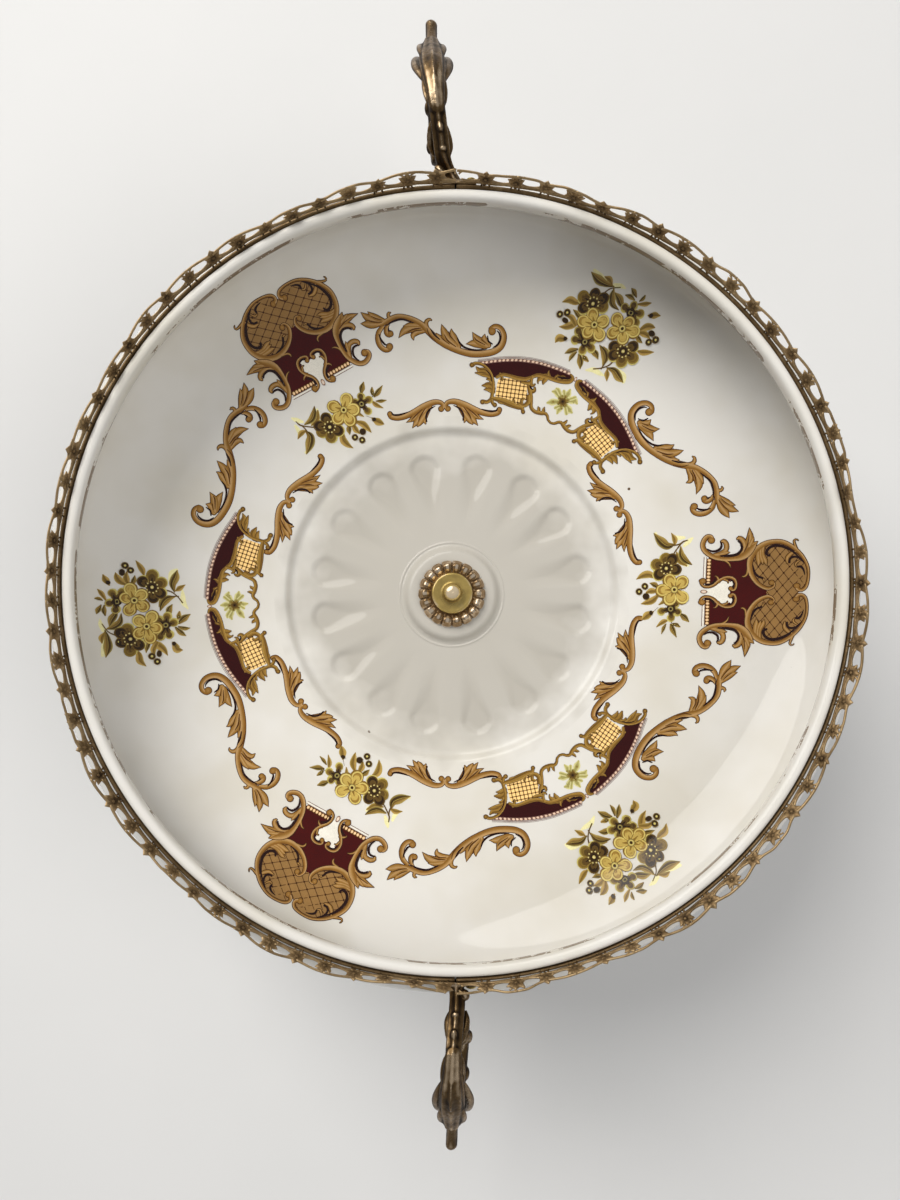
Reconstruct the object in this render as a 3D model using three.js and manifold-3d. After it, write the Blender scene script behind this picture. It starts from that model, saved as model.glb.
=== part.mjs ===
// A footed porcelain bowl with a pierced brass gallery round its lip, two cast brass scroll handles,
// and a brass and porcelain pedestal, all clamped on one threaded tie rod under a fluted rosette.
// Millimetres, +Z up. The origin is on the table under the middle of the bowl, and the handles lie along Y.
import * as THREE from "three";
import { mergeVertices } from "three/addons/utils/BufferGeometryUtils.js";
import Module from "manifold-3d";

const wasm = await Module();
wasm.setup();

// Heights of the pieces in the stack, from the table up
const footDrop = 12; // underside of the base plate's edge above the table
const baseDomeHeight = 14; // from that edge up to the base's top face
const lowerCollarSeat = 4; // thickness of the lower collar under the stem
const stemHeight = 28;
const upperCollarSeat = 7; // thickness of the upper collar under the bowl
const padThickness = 1.2; // each felt pad
const footRingDrop = 4.5; // the bowl's own foot ring below its underside
const wallThickness = 5; // porcelain
const wellDepth = 52; // the well's floor below the top of the lip
const seatGap = 0.1; // between two pieces that rest on each other

// Bowl
const lipRadius = 132; // outside of the lip's bead
const lipWidth = 4.6; // across the bead
const lipNeckDrop = 5.4; // the neck under the bead, below its top
const bellyRadius = 142.5; // widest ring of the outside wall
const bellyDrop = 18; // that ring below the top of the lip
const medallionRadius = 65.6; // edge of the sunk well
const medallionStep = 3; // the well's floor below the floor round it
const medallionSlope = 4.6; // width of the slope down to the well
const bossRadius = 16.5; // raised seat in the middle of the well
const bossSkirt = 4;
const bossRise = 3;
const fluteCount = 16;
const fluteDepth = 1.3;
const fluteInnerRadius = 24;
const fluteOuterRadius = 58;
const footRingInner = 27;
const footRingOuter = 34;

// Tie rod and what it clamps
const rodRadius = 2.5;
const rodClearance = 0.15; // brass and steel bores round the rod
const porcelainClearance = 1.2; // porcelain bores round the rod
const rosettePadRadius = 9;
const rosetteRadius = 13;
const rosetteHubRadius = 8.4;
const rosetteThickness = 1.4;
const rosetteCrown = 2.6; // how far the fluted ring stands over its hub's underside
const rosetteFlutes = 18;
const rosetteFluteDepth = 0.5;
const capRadius = 7.9;
const capRimHeight = 2.2;
const capDishDepth = 0.9;
const capDomeWall = 0.85; // brass between the dome's outside and its bore
const capDomeHeight = 5.4;

// Facets of the turned pieces
const turnedSides = 36;
const smallSides = 24;
const rivetSides = 12;
const curveSteps = 4;

// Gallery
const galleryUnits = 42; // arches all the way round
const galleryThickness = 0.8;
const galleryFit = 0.3; // between the bead and the band
const collarBandHeight = 4.2; // the plain upright band that grips the bead
const collarBandDrop = 0.9; // top of the plain band below the top of the lip
const galleryFlareOut = 2.6; // the pierced part leans out by this
const galleryFlareUp = 3.6; // and rises by this
const galleryRail = 1.1; // height of the top rail, along the slant
const archRise = 1; // an arch's crown over its ends
const galleryJointGap = 0.6; // between the two half bands

// Handles
const plateWidth = 15;
const plateHeight = 4;
const plateThickness = 1.8;
const rivetRadius = 1;
const rivetHeadRadius = 1.8;
const rivetHeadHeight = 0.9;
const rivetClearance = 0.1;
const rivetSpacing = 10.4;
// How each handle has been knocked out of line: the lean hangs the scroll's lower end to one side and the
// bend turns the handle sideways, both in degrees; the shift moves it sideways beyond its root and the sag
// bows its middle
const backHandlePose = { lean: -1.4, bend: -5.2, shift: -3.0, sag: -1.5 };
const frontHandlePose = { lean: 7, bend: 3.0, shift: -0.8, sag: -0.4 };
const handleRootLength = 8; // over which the shift sets in
const handleLength = 58; // from the band to the end of the nose

// Pedestal
const upperCollarRadius = 39;
const upperCollarHub = 22.5;
const collarLip = 1.6; // width of the raised lip round a seated piece
const collarLipHeight = 2.6;
const collarFit = 0.4; // between that lip and the seated piece
const stemTopRadius = 20;
const stemWaistRadius = 11.5;
const stemBottomRadius = 25;
const stemFlange = 4; // height of the stem's end flanges
const baseTopRadius = 30;
const basePlateRadius = 50;
const baseShell = 4.5;
const footCount = 4;
const footReach = 60; // toe of a foot from the middle
const footWidth = 11;
const footPadLength = 9;
const nutAcrossFlats = 10;
const nutHeight = 5;
const washerRadius = 9;
const washerThickness = 1.5;
const rodTail = 2.5; // rod below the nut

// Levels worked out from the stack
const baseEdge = footDrop;
const baseTop = baseEdge + baseDomeHeight;
const lowerCollarBottom = baseTop + seatGap;
const stemBottom = lowerCollarBottom + lowerCollarSeat + seatGap;
const stemTop = stemBottom + stemHeight;
const upperCollarBottom = stemTop + seatGap;
const upperCollarTop = upperCollarBottom + upperCollarSeat;
const bowlPadBottom = upperCollarTop + seatGap;
const bowlFoot = bowlPadBottom + padThickness + seatGap;
const bowlUnderside = bowlFoot + footRingDrop;
const wellFloor = bowlUnderside + wallThickness;
const rimTop = wellFloor + wellDepth;
const bossTop = wellFloor + bossRise;
const rosettePadBottom = bossTop + seatGap;
const rosetteBottom = rosettePadBottom + padThickness + seatGap;
const capBottom = rosetteBottom + rosetteThickness + seatGap;
const capTop = capBottom + capRimHeight + capDomeHeight;
const rodTop = capTop - 2 * capDomeWall;
const washerTop = baseTop - baseShell - seatGap;
const washerBottom = washerTop - washerThickness;
const nutTop = washerBottom - seatGap;
const galleryInner = lipRadius + galleryFit;
const galleryBottom = rimTop - collarBandDrop - collarBandHeight;
const rivetLevel = galleryBottom + collarBandHeight / 2;
const plateInner = galleryInner + galleryThickness + seatGap;
const metalBore = rodRadius + rodClearance;
const porcelainBore = rodRadius + porcelainClearance;

const porcelain = new THREE.MeshStandardMaterial({ color: 0xe9e6dc, roughness: 0.12, metalness: 0 });
const stampedBrass = new THREE.MeshStandardMaterial({ color: 0x9a7440, roughness: 0.42, metalness: 1 });
const castBrass = new THREE.MeshStandardMaterial({ color: 0x8a6a3c, roughness: 0.35, metalness: 1 });
const polishedBrass = new THREE.MeshStandardMaterial({ color: 0xc09a4e, roughness: 0.2, metalness: 1 });
const steel = new THREE.MeshStandardMaterial({ color: 0x9b9a96, roughness: 0.4, metalness: 1 });
const felt = new THREE.MeshStandardMaterial({ color: 0x5a4b3a, roughness: 0.95, metalness: 0 });

const point = (r, z) => new THREE.Vector2(r, z);
const radians = THREE.MathUtils.degToRad;

// The same surface with its shared vertices merged and only its positions kept
function welded(geometry) {
  const bare = new THREE.BufferGeometry().setAttribute("position", geometry.getAttribute("position"));
  bare.setIndex(geometry.index);
  return mergeVertices(bare, 1e-4);
}

// A closed geometry as a manifold-3d solid
function solidOf(geometry) {
  const merged = welded(geometry);
  return new wasm.Manifold(
    new wasm.Mesh({
      numProp: 3,
      vertProperties: merged.attributes.position.array,
      triVerts: new Uint32Array(merged.index.array),
    }),
  );
}

function geometryOf(solid) {
  const mesh = solid.getMesh();
  return new THREE.BufferGeometry()
    .setAttribute("position", new THREE.BufferAttribute(mesh.vertProperties, 3))
    .setIndex(new THREE.BufferAttribute(mesh.triVerts, 1));
}

function unionOf(geometries) {
  return geometries.map(solidOf).reduce((sum, next) => sum.add(next));
}

// Turns a closed profile of (radius, height) points round the Z axis
function turned(profile, segments) {
  const geometry = new THREE.LatheGeometry(profile, segments).rotateX(Math.PI / 2);
  return facingOut(geometry);
}

// Turns every face round if the surface encloses a negative volume
function facingOut(geometry) {
  const p = geometry.getAttribute("position");
  const index = geometry.index.array;
  const corner = (i) => new THREE.Vector3().fromBufferAttribute(p, i);
  let volume = 0;
  for (let i = 0; i < index.length; i += 3) {
    volume += corner(index[i]).dot(corner(index[i + 1]).cross(corner(index[i + 2])));
  }
  if (volume < 0) {
    for (let i = 0; i < index.length; i += 3) [index[i + 1], index[i + 2]] = [index[i + 2], index[i + 1]];
  }
  return geometry;
}

// Moves each vertex of a geometry by rule(vector)
function reshaped(geometry, rule) {
  const p = geometry.getAttribute("position");
  const v = new THREE.Vector3();
  for (let i = 0; i < p.count; i++) {
    rule(v.fromBufferAttribute(p, i));
    p.setXYZ(i, v.x, v.y, v.z);
  }
  return geometry;
}

// A flat outline given a thickness along Z
function extruded(outline, depth, curveSegments = curveSteps) {
  return welded(new THREE.ExtrudeGeometry(outline, { depth, bevelEnabled: false, curveSegments }));
}

// Joins a profile's end to its start
function closed(points) {
  return [...points, points[0].clone()];
}

// A flat ring with a bore
function ringGeometry(inner, outer, bottom, thickness) {
  const top = bottom + thickness;
  const profile = [point(inner, bottom), point(outer, bottom), point(outer, top), point(inner, top)];
  return turned(closed(profile), turnedSides);
}

function mesh(name, geometry, material) {
  const made = new THREE.Mesh(geometry, material);
  made.name = name;
  return made;
}

// Porcelain bowl: a rolled lip, a bulging wall, a wide floor and a fluted well with a bored boss
function bowlGeometry() {
  const beadInner = lipRadius - lipWidth;
  const beadMiddle = lipRadius - lipWidth / 2;
  const neck = rimTop - lipNeckDrop;
  const neckTuck = 1.4; // the neck is tucked in under the bead
  const belly = rimTop - bellyDrop;
  const innerBelly = bellyRadius - wallThickness;
  const floorEdge = wellFloor + medallionStep;
  const footTaper = 0.8;
  const wall = new THREE.Path();
  wall.moveTo(medallionRadius, bowlUnderside + 0.4);
  wall.bezierCurveTo(
    medallionRadius + 38, bowlUnderside + medallionStep + 1.5,
    bellyRadius, bowlUnderside + wellDepth * 0.24,
    bellyRadius, belly,
  );
  wall.bezierCurveTo(
    bellyRadius, (belly + neck) / 2,
    lipRadius + neckTuck, neck - 1.4,
    lipRadius - neckTuck, neck,
  );
  wall.bezierCurveTo(lipRadius + 0.4, rimTop - 3, lipRadius, rimTop, beadMiddle, rimTop);
  wall.bezierCurveTo(beadInner, rimTop, beadInner - 0.2, rimTop - 3, beadInner + neckTuck / 2, neck);
  wall.bezierCurveTo(
    beadInner + neckTuck + 3, neck - 2,
    innerBelly, (belly + neck) / 2,
    innerBelly, belly,
  );
  wall.bezierCurveTo(
    innerBelly, wellFloor + wellDepth * 0.27,
    medallionRadius + 36, floorEdge + 4.5,
    medallionRadius, floorEdge,
  );
  const wellStart = medallionRadius - medallionSlope;
  const wellPoints = 5;
  const under = [
    point(porcelainBore, bowlUnderside),
    point(footRingInner, bowlUnderside),
    point(footRingInner + footTaper, bowlFoot),
    point(footRingOuter - footTaper, bowlFoot),
    point(footRingOuter, bowlUnderside),
    point((footRingOuter + medallionRadius) / 2, bowlUnderside),
    point(fluteOuterRadius, bowlUnderside),
  ];
  const well = [];
  for (let i = 0; i <= wellPoints; i++) {
    well.push(point(THREE.MathUtils.lerp(wellStart, bossRadius + bossSkirt, i / wellPoints), wellFloor));
  }
  const boss = [point(bossRadius, bossTop), point(porcelainBore, bossTop)];
  const profile = closed([...under, ...wall.getPoints(curveSteps), ...well, ...boss]);
  const segments = fluteCount * 3;
  return reshaped(turned(profile, segments), (v) => {
    const r = Math.hypot(v.x, v.y);
    const onWell = Math.abs(v.z - wellFloor) < 0.01;
    if (!onWell || r < fluteInnerRadius) return;
    const along = Math.min(1, (r - fluteInnerRadius) / (fluteOuterRadius - fluteInnerRadius));
    const ending = r > fluteOuterRadius ? 0 : Math.sin(Math.PI * Math.min(1, along * 0.55 + 0.02));
    v.z -= fluteDepth * ending * (0.5 - 0.5 * Math.cos(fluteCount * Math.atan2(v.y, v.x)));
  });
}

// Half of the pierced band, as a sheet of square cells: an upright collar, then a leaning openwork row of
// posts and gaps, then a rail that rises into an arch over each unit
function galleryGeometry(startAngle) {
  const cellsPerUnit = 4;
  const cells = (galleryUnits / 2) * cellsPerUnit;
  const halfGap = galleryJointGap / 2 / galleryInner;
  const slant = Math.hypot(galleryFlareOut, galleryFlareUp);
  const rows = 3;
  const rowShare = [0, 0, (slant - galleryRail) / slant, 1]; // how far up the slant each row line lies
  const isSolid = (i, j) => {
    if (i < 0 || i >= cells || j < 0 || j >= rows) return false;
    const atJoint = i === 0 || i === cells - 1;
    if (atJoint) return j === 0;
    return j !== 1 || i % 2 === 1;
  };
  const place = (i, j, side) => {
    const angle = startAngle + THREE.MathUtils.lerp(halfGap, Math.PI - halfGap, i / cells);
    const arch = j === rows ? archRise * Math.abs(Math.sin((Math.PI * i) / cellsPerUnit)) : 0;
    const share = rowShare[j] + arch / slant;
    const r = galleryInner + side * galleryThickness + share * galleryFlareOut;
    const z = j === 0 ? galleryBottom : galleryBottom + collarBandHeight + share * galleryFlareUp;
    return new THREE.Vector3(r * Math.cos(angle), r * Math.sin(angle), z);
  };
  const positions = [];
  const quad = (a, b, c, d) => [a, b, c, a, c, d].forEach((v) => positions.push(v.x, v.y, v.z));
  for (let i = 0; i < cells; i++) {
    for (let j = 0; j < rows; j++) {
      if (!isSolid(i, j)) continue;
      const [a, b, c, d] = [place(i, j, 0), place(i + 1, j, 0), place(i + 1, j + 1, 0), place(i, j + 1, 0)];
      const [e, f, g, h] = [place(i, j, 1), place(i + 1, j, 1), place(i + 1, j + 1, 1), place(i, j + 1, 1)];
      quad(d, c, b, a);
      quad(e, f, g, h);
      if (!isSolid(i, j - 1)) quad(a, b, f, e);
      if (!isSolid(i, j + 1)) quad(h, g, c, d);
      if (!isSolid(i - 1, j)) quad(e, h, d, a);
      if (!isSolid(i + 1, j)) quad(b, c, g, f);
    }
  }
  const sheet = new THREE.BufferGeometry();
  sheet.setAttribute("position", new THREE.Float32BufferAttribute(positions, 3));
  return facingOut(mergeVertices(sheet, 1e-4));
}

// The rivet holes near both handles, cut out of a solid
function withRivetHoles(solid) {
  const radius = rivetRadius + rivetClearance;
  const length = 2 * (plateInner + 2 * plateThickness);
  const hole = (side) => {
    const drill = new THREE.CylinderGeometry(radius, radius, length, rivetSides);
    return solidOf(drill.translate((side * rivetSpacing) / 2, 0, rivetLevel));
  };
  return solid.subtract(hole(-1)).subtract(hole(1));
}

// A tapering bar along a curve in the (outward, up) plane.
// Each station is [outward, up, half width, half depth].
function taperedBar(stations, steps, sides) {
  const middle = new THREE.CatmullRomCurve3(stations.map(([s, z]) => new THREE.Vector3(0, s, z)));
  const sizes = new THREE.CatmullRomCurve3(stations.map(([, , w, d]) => new THREE.Vector3(w, d, 0)));
  const sideways = new THREE.Vector3(1, 0, 0);
  const positions = [];
  for (let i = 0; i <= steps; i++) {
    const at = middle.getPoint(i / steps);
    const size = sizes.getPoint(i / steps);
    const up = sideways.clone().cross(middle.getTangent(i / steps)).normalize();
    for (let k = 0; k < sides; k++) {
      const a = (2 * Math.PI * k) / sides;
      const v = at.clone().addScaledVector(sideways, size.x * Math.cos(a));
      v.addScaledVector(up, size.y * Math.sin(a));
      positions.push(v.x, v.y, v.z);
    }
  }
  const ends = [middle.getPoint(0), middle.getPoint(1)];
  ends.forEach((v) => positions.push(v.x, v.y, v.z));
  const firstEnd = (steps + 1) * sides;
  const index = [];
  for (let k = 0; k < sides; k++) {
    const next = (k + 1) % sides;
    for (let i = 0; i < steps; i++) {
      const [a, b, c, d] = [i * sides + k, i * sides + next, (i + 1) * sides + next, (i + 1) * sides + k];
      index.push(a, b, c, a, c, d);
    }
    const last = steps * sides;
    index.push(firstEnd, next, k, firstEnd + 1, last + k, last + next);
  }
  const bar = new THREE.BufferGeometry();
  bar.setAttribute("position", new THREE.Float32BufferAttribute(positions, 3)).setIndex(index);
  return facingOut(bar);
}

// Main scroll of a handle, outward from the plate and relative to the top of the lip
const scrollStations = [
  [1.0, -3.0, 2.3, 1.9],
  [5.0, -2.6, 2.3, 2.5],
  [10.0, 2.2, 2.6, 3.0],
  [18.0, 7.4, 2.8, 3.2],
  [27.0, 7.2, 2.9, 3.2],
  [37.0, 0.6, 2.8, 3.2],
  [45.0, -9.0, 2.6, 3.1],
  [49.5, -20.0, 2.4, 3.0],
  [47.5, -31.5, 2.2, 2.8],
  [39.0, -39.0, 2.1, 2.6],
  [29.5, -38.5, 2.0, 2.3],
  [26.0, -32.5, 1.9, 2.0],
  [30.5, -29.0, 1.9, 1.9],
];
// Leaf that lies along the outside of the scroll and ends in a nose
const leafStations = [
  [15.0, 8.6, 1.6, 1.2],
  [22.0, 11.2, 3.6, 1.7],
  [31.0, 9.0, 5.0, 2.0],
  [41.0, 2.4, 6.0, 2.0],
  [49.5, -4.0, 3.6, 1.8],
  [58.0, -8.5, 1.8, 1.5],
];
// Curl under the root of the scroll
const rootCurlStations = [
  [9.0, 0.5, 1.6, 1.6],
  [12.0, -4.0, 1.6, 1.6],
  [9.5, -8.2, 1.8, 1.6],
  [6.6, -6.6, 2.1, 1.7],
];
const scrollEndBall = { out: 30.2, up: -30.2, radius: 2.9 };

// Cast handle in its own frame: +Y outward, with its pose worked into the scroll but not the plate
function handleGeometry(pose) {
  const leaned = (geometry) =>
    reshaped(geometry, (v) => {
      const away = Math.max(0, Math.min(1, v.y / handleRootLength));
      v.x += v.z * Math.tan(radians(pose.lean)) + v.y * Math.tan(radians(pose.bend));
      v.x += pose.shift * away * away * (3 - 2 * away);
      v.x += pose.sag * Math.sin(Math.PI * Math.max(0, Math.min(1, v.y / handleLength)));
      v.y += plateInner;
      v.z += rimTop;
    });
  const ball = new THREE.IcosahedronGeometry(scrollEndBall.radius, 1);
  ball.translate(0, scrollEndBall.out, scrollEndBall.up);
  const parts = [
    leaned(taperedBar(scrollStations, 26, 8)),
    leaned(taperedBar(leafStations, 10, 8)),
    leaned(taperedBar(rootCurlStations, 8, 6)),
    leaned(welded(ball)),
    plateGeometry(),
  ];
  return geometryOf(withRivetHoles(unionOf(parts)));
}

// Riveting plate: a piece of ring that lies against the band
function plateGeometry() {
  const half = plateWidth / 2 / plateInner;
  const outline = new THREE.Shape();
  outline.absarc(0, 0, plateInner + plateThickness, Math.PI / 2 - half, Math.PI / 2 + half, false);
  outline.absarc(0, 0, plateInner, Math.PI / 2 + half, Math.PI / 2 - half, true);
  return extruded(outline, plateHeight).translate(0, 0, rivetLevel - plateHeight / 2);
}

// Rivet along Y: a shank flush with the inside of the band and a domed head on the plate
function rivetGeometry() {
  const bandFace = Math.sqrt(galleryInner ** 2 - (rivetSpacing / 2 + rivetRadius) ** 2);
  const tail = bandFace + 0.1;
  const headBase = plateInner + plateThickness + seatGap;
  const head = new THREE.Path();
  head.moveTo(rivetHeadRadius, headBase);
  head.quadraticCurveTo(rivetHeadRadius, headBase + rivetHeadHeight, 0, headBase + rivetHeadHeight);
  const shank = [point(0, tail), point(rivetRadius, tail), point(rivetRadius, headBase)];
  return facingOut(new THREE.LatheGeometry([...shank, ...head.getPoints(curveSteps)], rivetSides));
}

// Fluted rosette: a thin dished disc whose outer ring is pressed into petals
function rosetteGeometry() {
  const edge = rosetteBottom - padThickness;
  const crown = rosetteBottom + rosetteCrown;
  const crownRadius = (rosetteHubRadius + rosetteRadius) / 2;
  const profile = closed([
    point(metalBore, rosetteBottom),
    point(rosetteHubRadius + 0.8, rosetteBottom),
    point(crownRadius, crown - rosetteThickness),
    point(rosetteRadius - 1, edge),
    point(rosetteRadius, edge),
    point(rosetteRadius, edge + rosetteThickness),
    point(crownRadius + 1.2, crown - 0.3),
    point(crownRadius - 0.4, crown),
    point(rosetteHubRadius, rosetteBottom + rosetteThickness),
    point(metalBore, rosetteBottom + rosetteThickness),
  ]);
  return reshaped(turned(profile, rosetteFlutes * 3), (v) => {
    const r = Math.hypot(v.x, v.y);
    const share = THREE.MathUtils.smoothstep(r, rosetteHubRadius + 0.5, rosetteRadius);
    const push = 1 + (share * rosetteFluteDepth * Math.cos(rosetteFlutes * Math.atan2(v.y, v.x))) / r;
    v.x *= push;
    v.y *= push;
  });
}

// Cap nut: a dished flange with a dome in the middle, bored blind for the rod
function capNutGeometry() {
  const rim = capBottom + capRimHeight;
  const dish = rim - capDishDepth;
  const domeRadius = metalBore + capDomeWall;
  const boreTop = capTop - capDomeWall;
  const outer = new THREE.Path();
  outer.moveTo(metalBore, capBottom);
  outer.lineTo(capRadius - 0.6, capBottom);
  outer.quadraticCurveTo(capRadius + 0.3, rim, capRadius - 0.9, rim);
  outer.quadraticCurveTo(capRadius - 1.4, dish, domeRadius + 1, dish);
  outer.lineTo(domeRadius, rim);
  outer.lineTo(domeRadius, capTop - domeRadius);
  outer.quadraticCurveTo(domeRadius, capTop, 0, capTop);
  const bore = [point(0, boreTop), point(metalBore, boreTop - 0.4), point(metalBore, capBottom)];
  return turned([...outer.getPoints(curveSteps), ...bore], smallSides);
}

function tieRodGeometry() {
  const bottom = nutTop - nutHeight - rodTail;
  const chamfer = 0.6;
  const profile = [
    point(0, bottom),
    point(rodRadius - chamfer, bottom),
    point(rodRadius, bottom + chamfer),
    point(rodRadius, rodTop - chamfer),
    point(rodRadius - chamfer, rodTop),
    point(0, rodTop),
  ];
  return turned(profile, smallSides);
}

// Brass saucer that carries the bowl's foot ring on a felt pad and sits on the stem
function upperCollarGeometry() {
  const lipInner = footRingOuter + collarFit;
  const outline = new THREE.Path();
  outline.moveTo(metalBore, upperCollarBottom);
  outline.lineTo(upperCollarHub, upperCollarBottom);
  const shoulder = point(upperCollarRadius - 3, upperCollarTop - 2);
  outline.quadraticCurveTo(upperCollarHub + 5, upperCollarBottom + 1, shoulder.x, shoulder.y);
  outline.quadraticCurveTo(upperCollarRadius, upperCollarTop - 1, upperCollarRadius, upperCollarTop + 1);
  outline.lineTo(lipInner + collarLip, upperCollarTop + collarLipHeight);
  outline.lineTo(lipInner, upperCollarTop + collarLipHeight);
  outline.lineTo(lipInner, upperCollarTop);
  outline.lineTo(metalBore, upperCollarTop);
  return turned(closed(outline.getPoints(curveSteps)), turnedSides);
}

// Waisted porcelain stem between the collars
function stemGeometry() {
  const outline = new THREE.Path();
  outline.moveTo(porcelainBore, stemBottom);
  outline.lineTo(stemBottomRadius, stemBottom);
  outline.lineTo(stemBottomRadius, stemBottom + stemFlange);
  outline.bezierCurveTo(
    stemWaistRadius + 4, stemBottom + stemFlange + 2,
    stemWaistRadius, stemBottom + stemHeight * 0.35,
    stemWaistRadius, stemBottom + stemHeight * 0.55,
  );
  outline.bezierCurveTo(
    stemWaistRadius, stemTop - stemFlange - 4,
    stemTopRadius - 4, stemTop - stemFlange,
    stemTopRadius, stemTop - stemFlange * 0.7,
  );
  outline.lineTo(stemTopRadius, stemTop);
  outline.lineTo(porcelainBore, stemTop);
  return turned(closed(outline.getPoints(curveSteps)), turnedSides);
}

// Brass ring that centres the stem on the base
function lowerCollarGeometry() {
  const top = lowerCollarBottom + lowerCollarSeat;
  const lipInner = stemBottomRadius + collarFit;
  const outline = new THREE.Path();
  outline.moveTo(metalBore, lowerCollarBottom);
  outline.lineTo(lipInner + collarLip + 2, lowerCollarBottom);
  outline.quadraticCurveTo(lipInner + collarLip + 3.4, lowerCollarBottom + 2, lipInner + collarLip, top);
  outline.lineTo(lipInner + collarLip, top + collarLipHeight - 0.6);
  outline.lineTo(lipInner + collarLip / 2, top + collarLipHeight);
  outline.lineTo(lipInner, top + collarLipHeight);
  outline.lineTo(lipInner, top);
  outline.lineTo(metalBore, top);
  return turned(closed(outline.getPoints(curveSteps)), turnedSides);
}

// One scroll foot seen from the side, from the plate down to the toe, before it is turned to its place
function footGeometry() {
  const plateTop = baseEdge + baseShell;
  const side = new THREE.Shape();
  side.moveTo(basePlateRadius - 18, baseEdge + 1.5);
  side.lineTo(basePlateRadius - 8, plateTop - 0.5);
  side.quadraticCurveTo(basePlateRadius + 3, plateTop + 0.5, basePlateRadius + 4.5, baseEdge - 2);
  side.quadraticCurveTo(basePlateRadius + 5, footDrop * 0.42, footReach, footDrop * 0.3);
  side.quadraticCurveTo(footReach + 1.5, 0.6, footReach - 1.5, 0);
  side.lineTo(footReach - 1.5 - footPadLength, 0);
  side.quadraticCurveTo(basePlateRadius - 5, footDrop * 0.45, basePlateRadius - 18, baseEdge + 1.5);
  return extruded(side, footWidth).translate(0, 0, -footWidth / 2).rotateX(Math.PI / 2);
}

// Cast base: a hollow dome with a flat seat on top, on scroll feet
function baseGeometry() {
  const outline = new THREE.Path();
  outline.moveTo(metalBore, baseTop - baseShell);
  outline.lineTo(baseTopRadius - 8, baseTop - baseShell);
  outline.quadraticCurveTo(baseTopRadius, baseTop - baseShell - 1, basePlateRadius - baseShell, baseEdge);
  outline.lineTo(basePlateRadius, baseEdge);
  outline.quadraticCurveTo(basePlateRadius + 1.5, baseEdge + 1.5, basePlateRadius - 0.5, baseEdge + 3);
  outline.quadraticCurveTo(basePlateRadius - 8, baseEdge + 4.5, baseTopRadius + 2, baseTop - 2);
  outline.lineTo(baseTopRadius, baseTop);
  outline.lineTo(metalBore, baseTop);
  const dome = turned(closed(outline.getPoints(curveSteps)), turnedSides);
  const feet = Array.from({ length: footCount }, (_, i) =>
    footGeometry().rotateZ(((i + 0.5) * 2 * Math.PI) / footCount),
  );
  return geometryOf(unionOf([dome, ...feet]));
}

function nutGeometry() {
  const corner = nutAcrossFlats / 2 / Math.cos(Math.PI / 6);
  const hexagon = new THREE.Shape();
  for (let i = 0; i < 6; i++) {
    const a = (i * Math.PI) / 3;
    if (i === 0) hexagon.moveTo(corner, 0);
    else hexagon.lineTo(corner * Math.cos(a), corner * Math.sin(a));
  }
  hexagon.closePath();
  hexagon.holes.push(new THREE.Path().absarc(0, 0, metalBore, 0, 2 * Math.PI, true));
  return extruded(hexagon, nutHeight, turnedSides).translate(0, 0, nutTop - nutHeight);
}

const footedBowl = new THREE.Group();

footedBowl.add(mesh("bowl", bowlGeometry(), porcelain));

const galleryHalves = { right: -Math.PI / 2, left: Math.PI / 2 };
for (const [side, start] of Object.entries(galleryHalves)) {
  const band = geometryOf(withRivetHoles(solidOf(galleryGeometry(start))));
  footedBowl.add(mesh(`gallery_${side}`, band, stampedBrass));
}

const handles = { back: { turn: 0, pose: backHandlePose }, front: { turn: Math.PI, pose: frontHandlePose } };
for (const [end, { turn, pose }] of Object.entries(handles)) {
  const assembly = new THREE.Group();
  assembly.rotation.z = turn;
  assembly.add(mesh(`handle_${end}`, handleGeometry(pose), castBrass));
  for (const [side, sign] of Object.entries({ left: -1, right: 1 })) {
    const rivet = mesh(`handle_rivet_${end}_${side}`, rivetGeometry(), polishedBrass);
    rivet.position.set((sign * rivetSpacing) / 2, 0, rivetLevel);
    assembly.add(rivet);
  }
  footedBowl.add(assembly);
}

footedBowl.add(
  mesh("rosette_pad", ringGeometry(porcelainBore, rosettePadRadius, rosettePadBottom, padThickness), felt),
  mesh("rosette", rosetteGeometry(), polishedBrass),
  mesh("cap_nut", capNutGeometry(), polishedBrass),
  mesh("tie_rod", tieRodGeometry(), steel),
  mesh("bowl_pad", ringGeometry(footRingInner, footRingOuter, bowlPadBottom, padThickness), felt),
  mesh("upper_collar", upperCollarGeometry(), stampedBrass),
  mesh("stem", stemGeometry(), porcelain),
  mesh("lower_collar", lowerCollarGeometry(), stampedBrass),
  mesh("base", baseGeometry(), castBrass),
  mesh("base_washer", ringGeometry(metalBore, washerRadius, washerBottom, washerThickness), steel),
  mesh("base_nut", nutGeometry(), steel),
);

export default footedBowl;
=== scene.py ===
import math

import bmesh
import bpy
import numpy as np
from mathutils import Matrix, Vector
from mathutils.geometry import delaunay_2d_cdt


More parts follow.
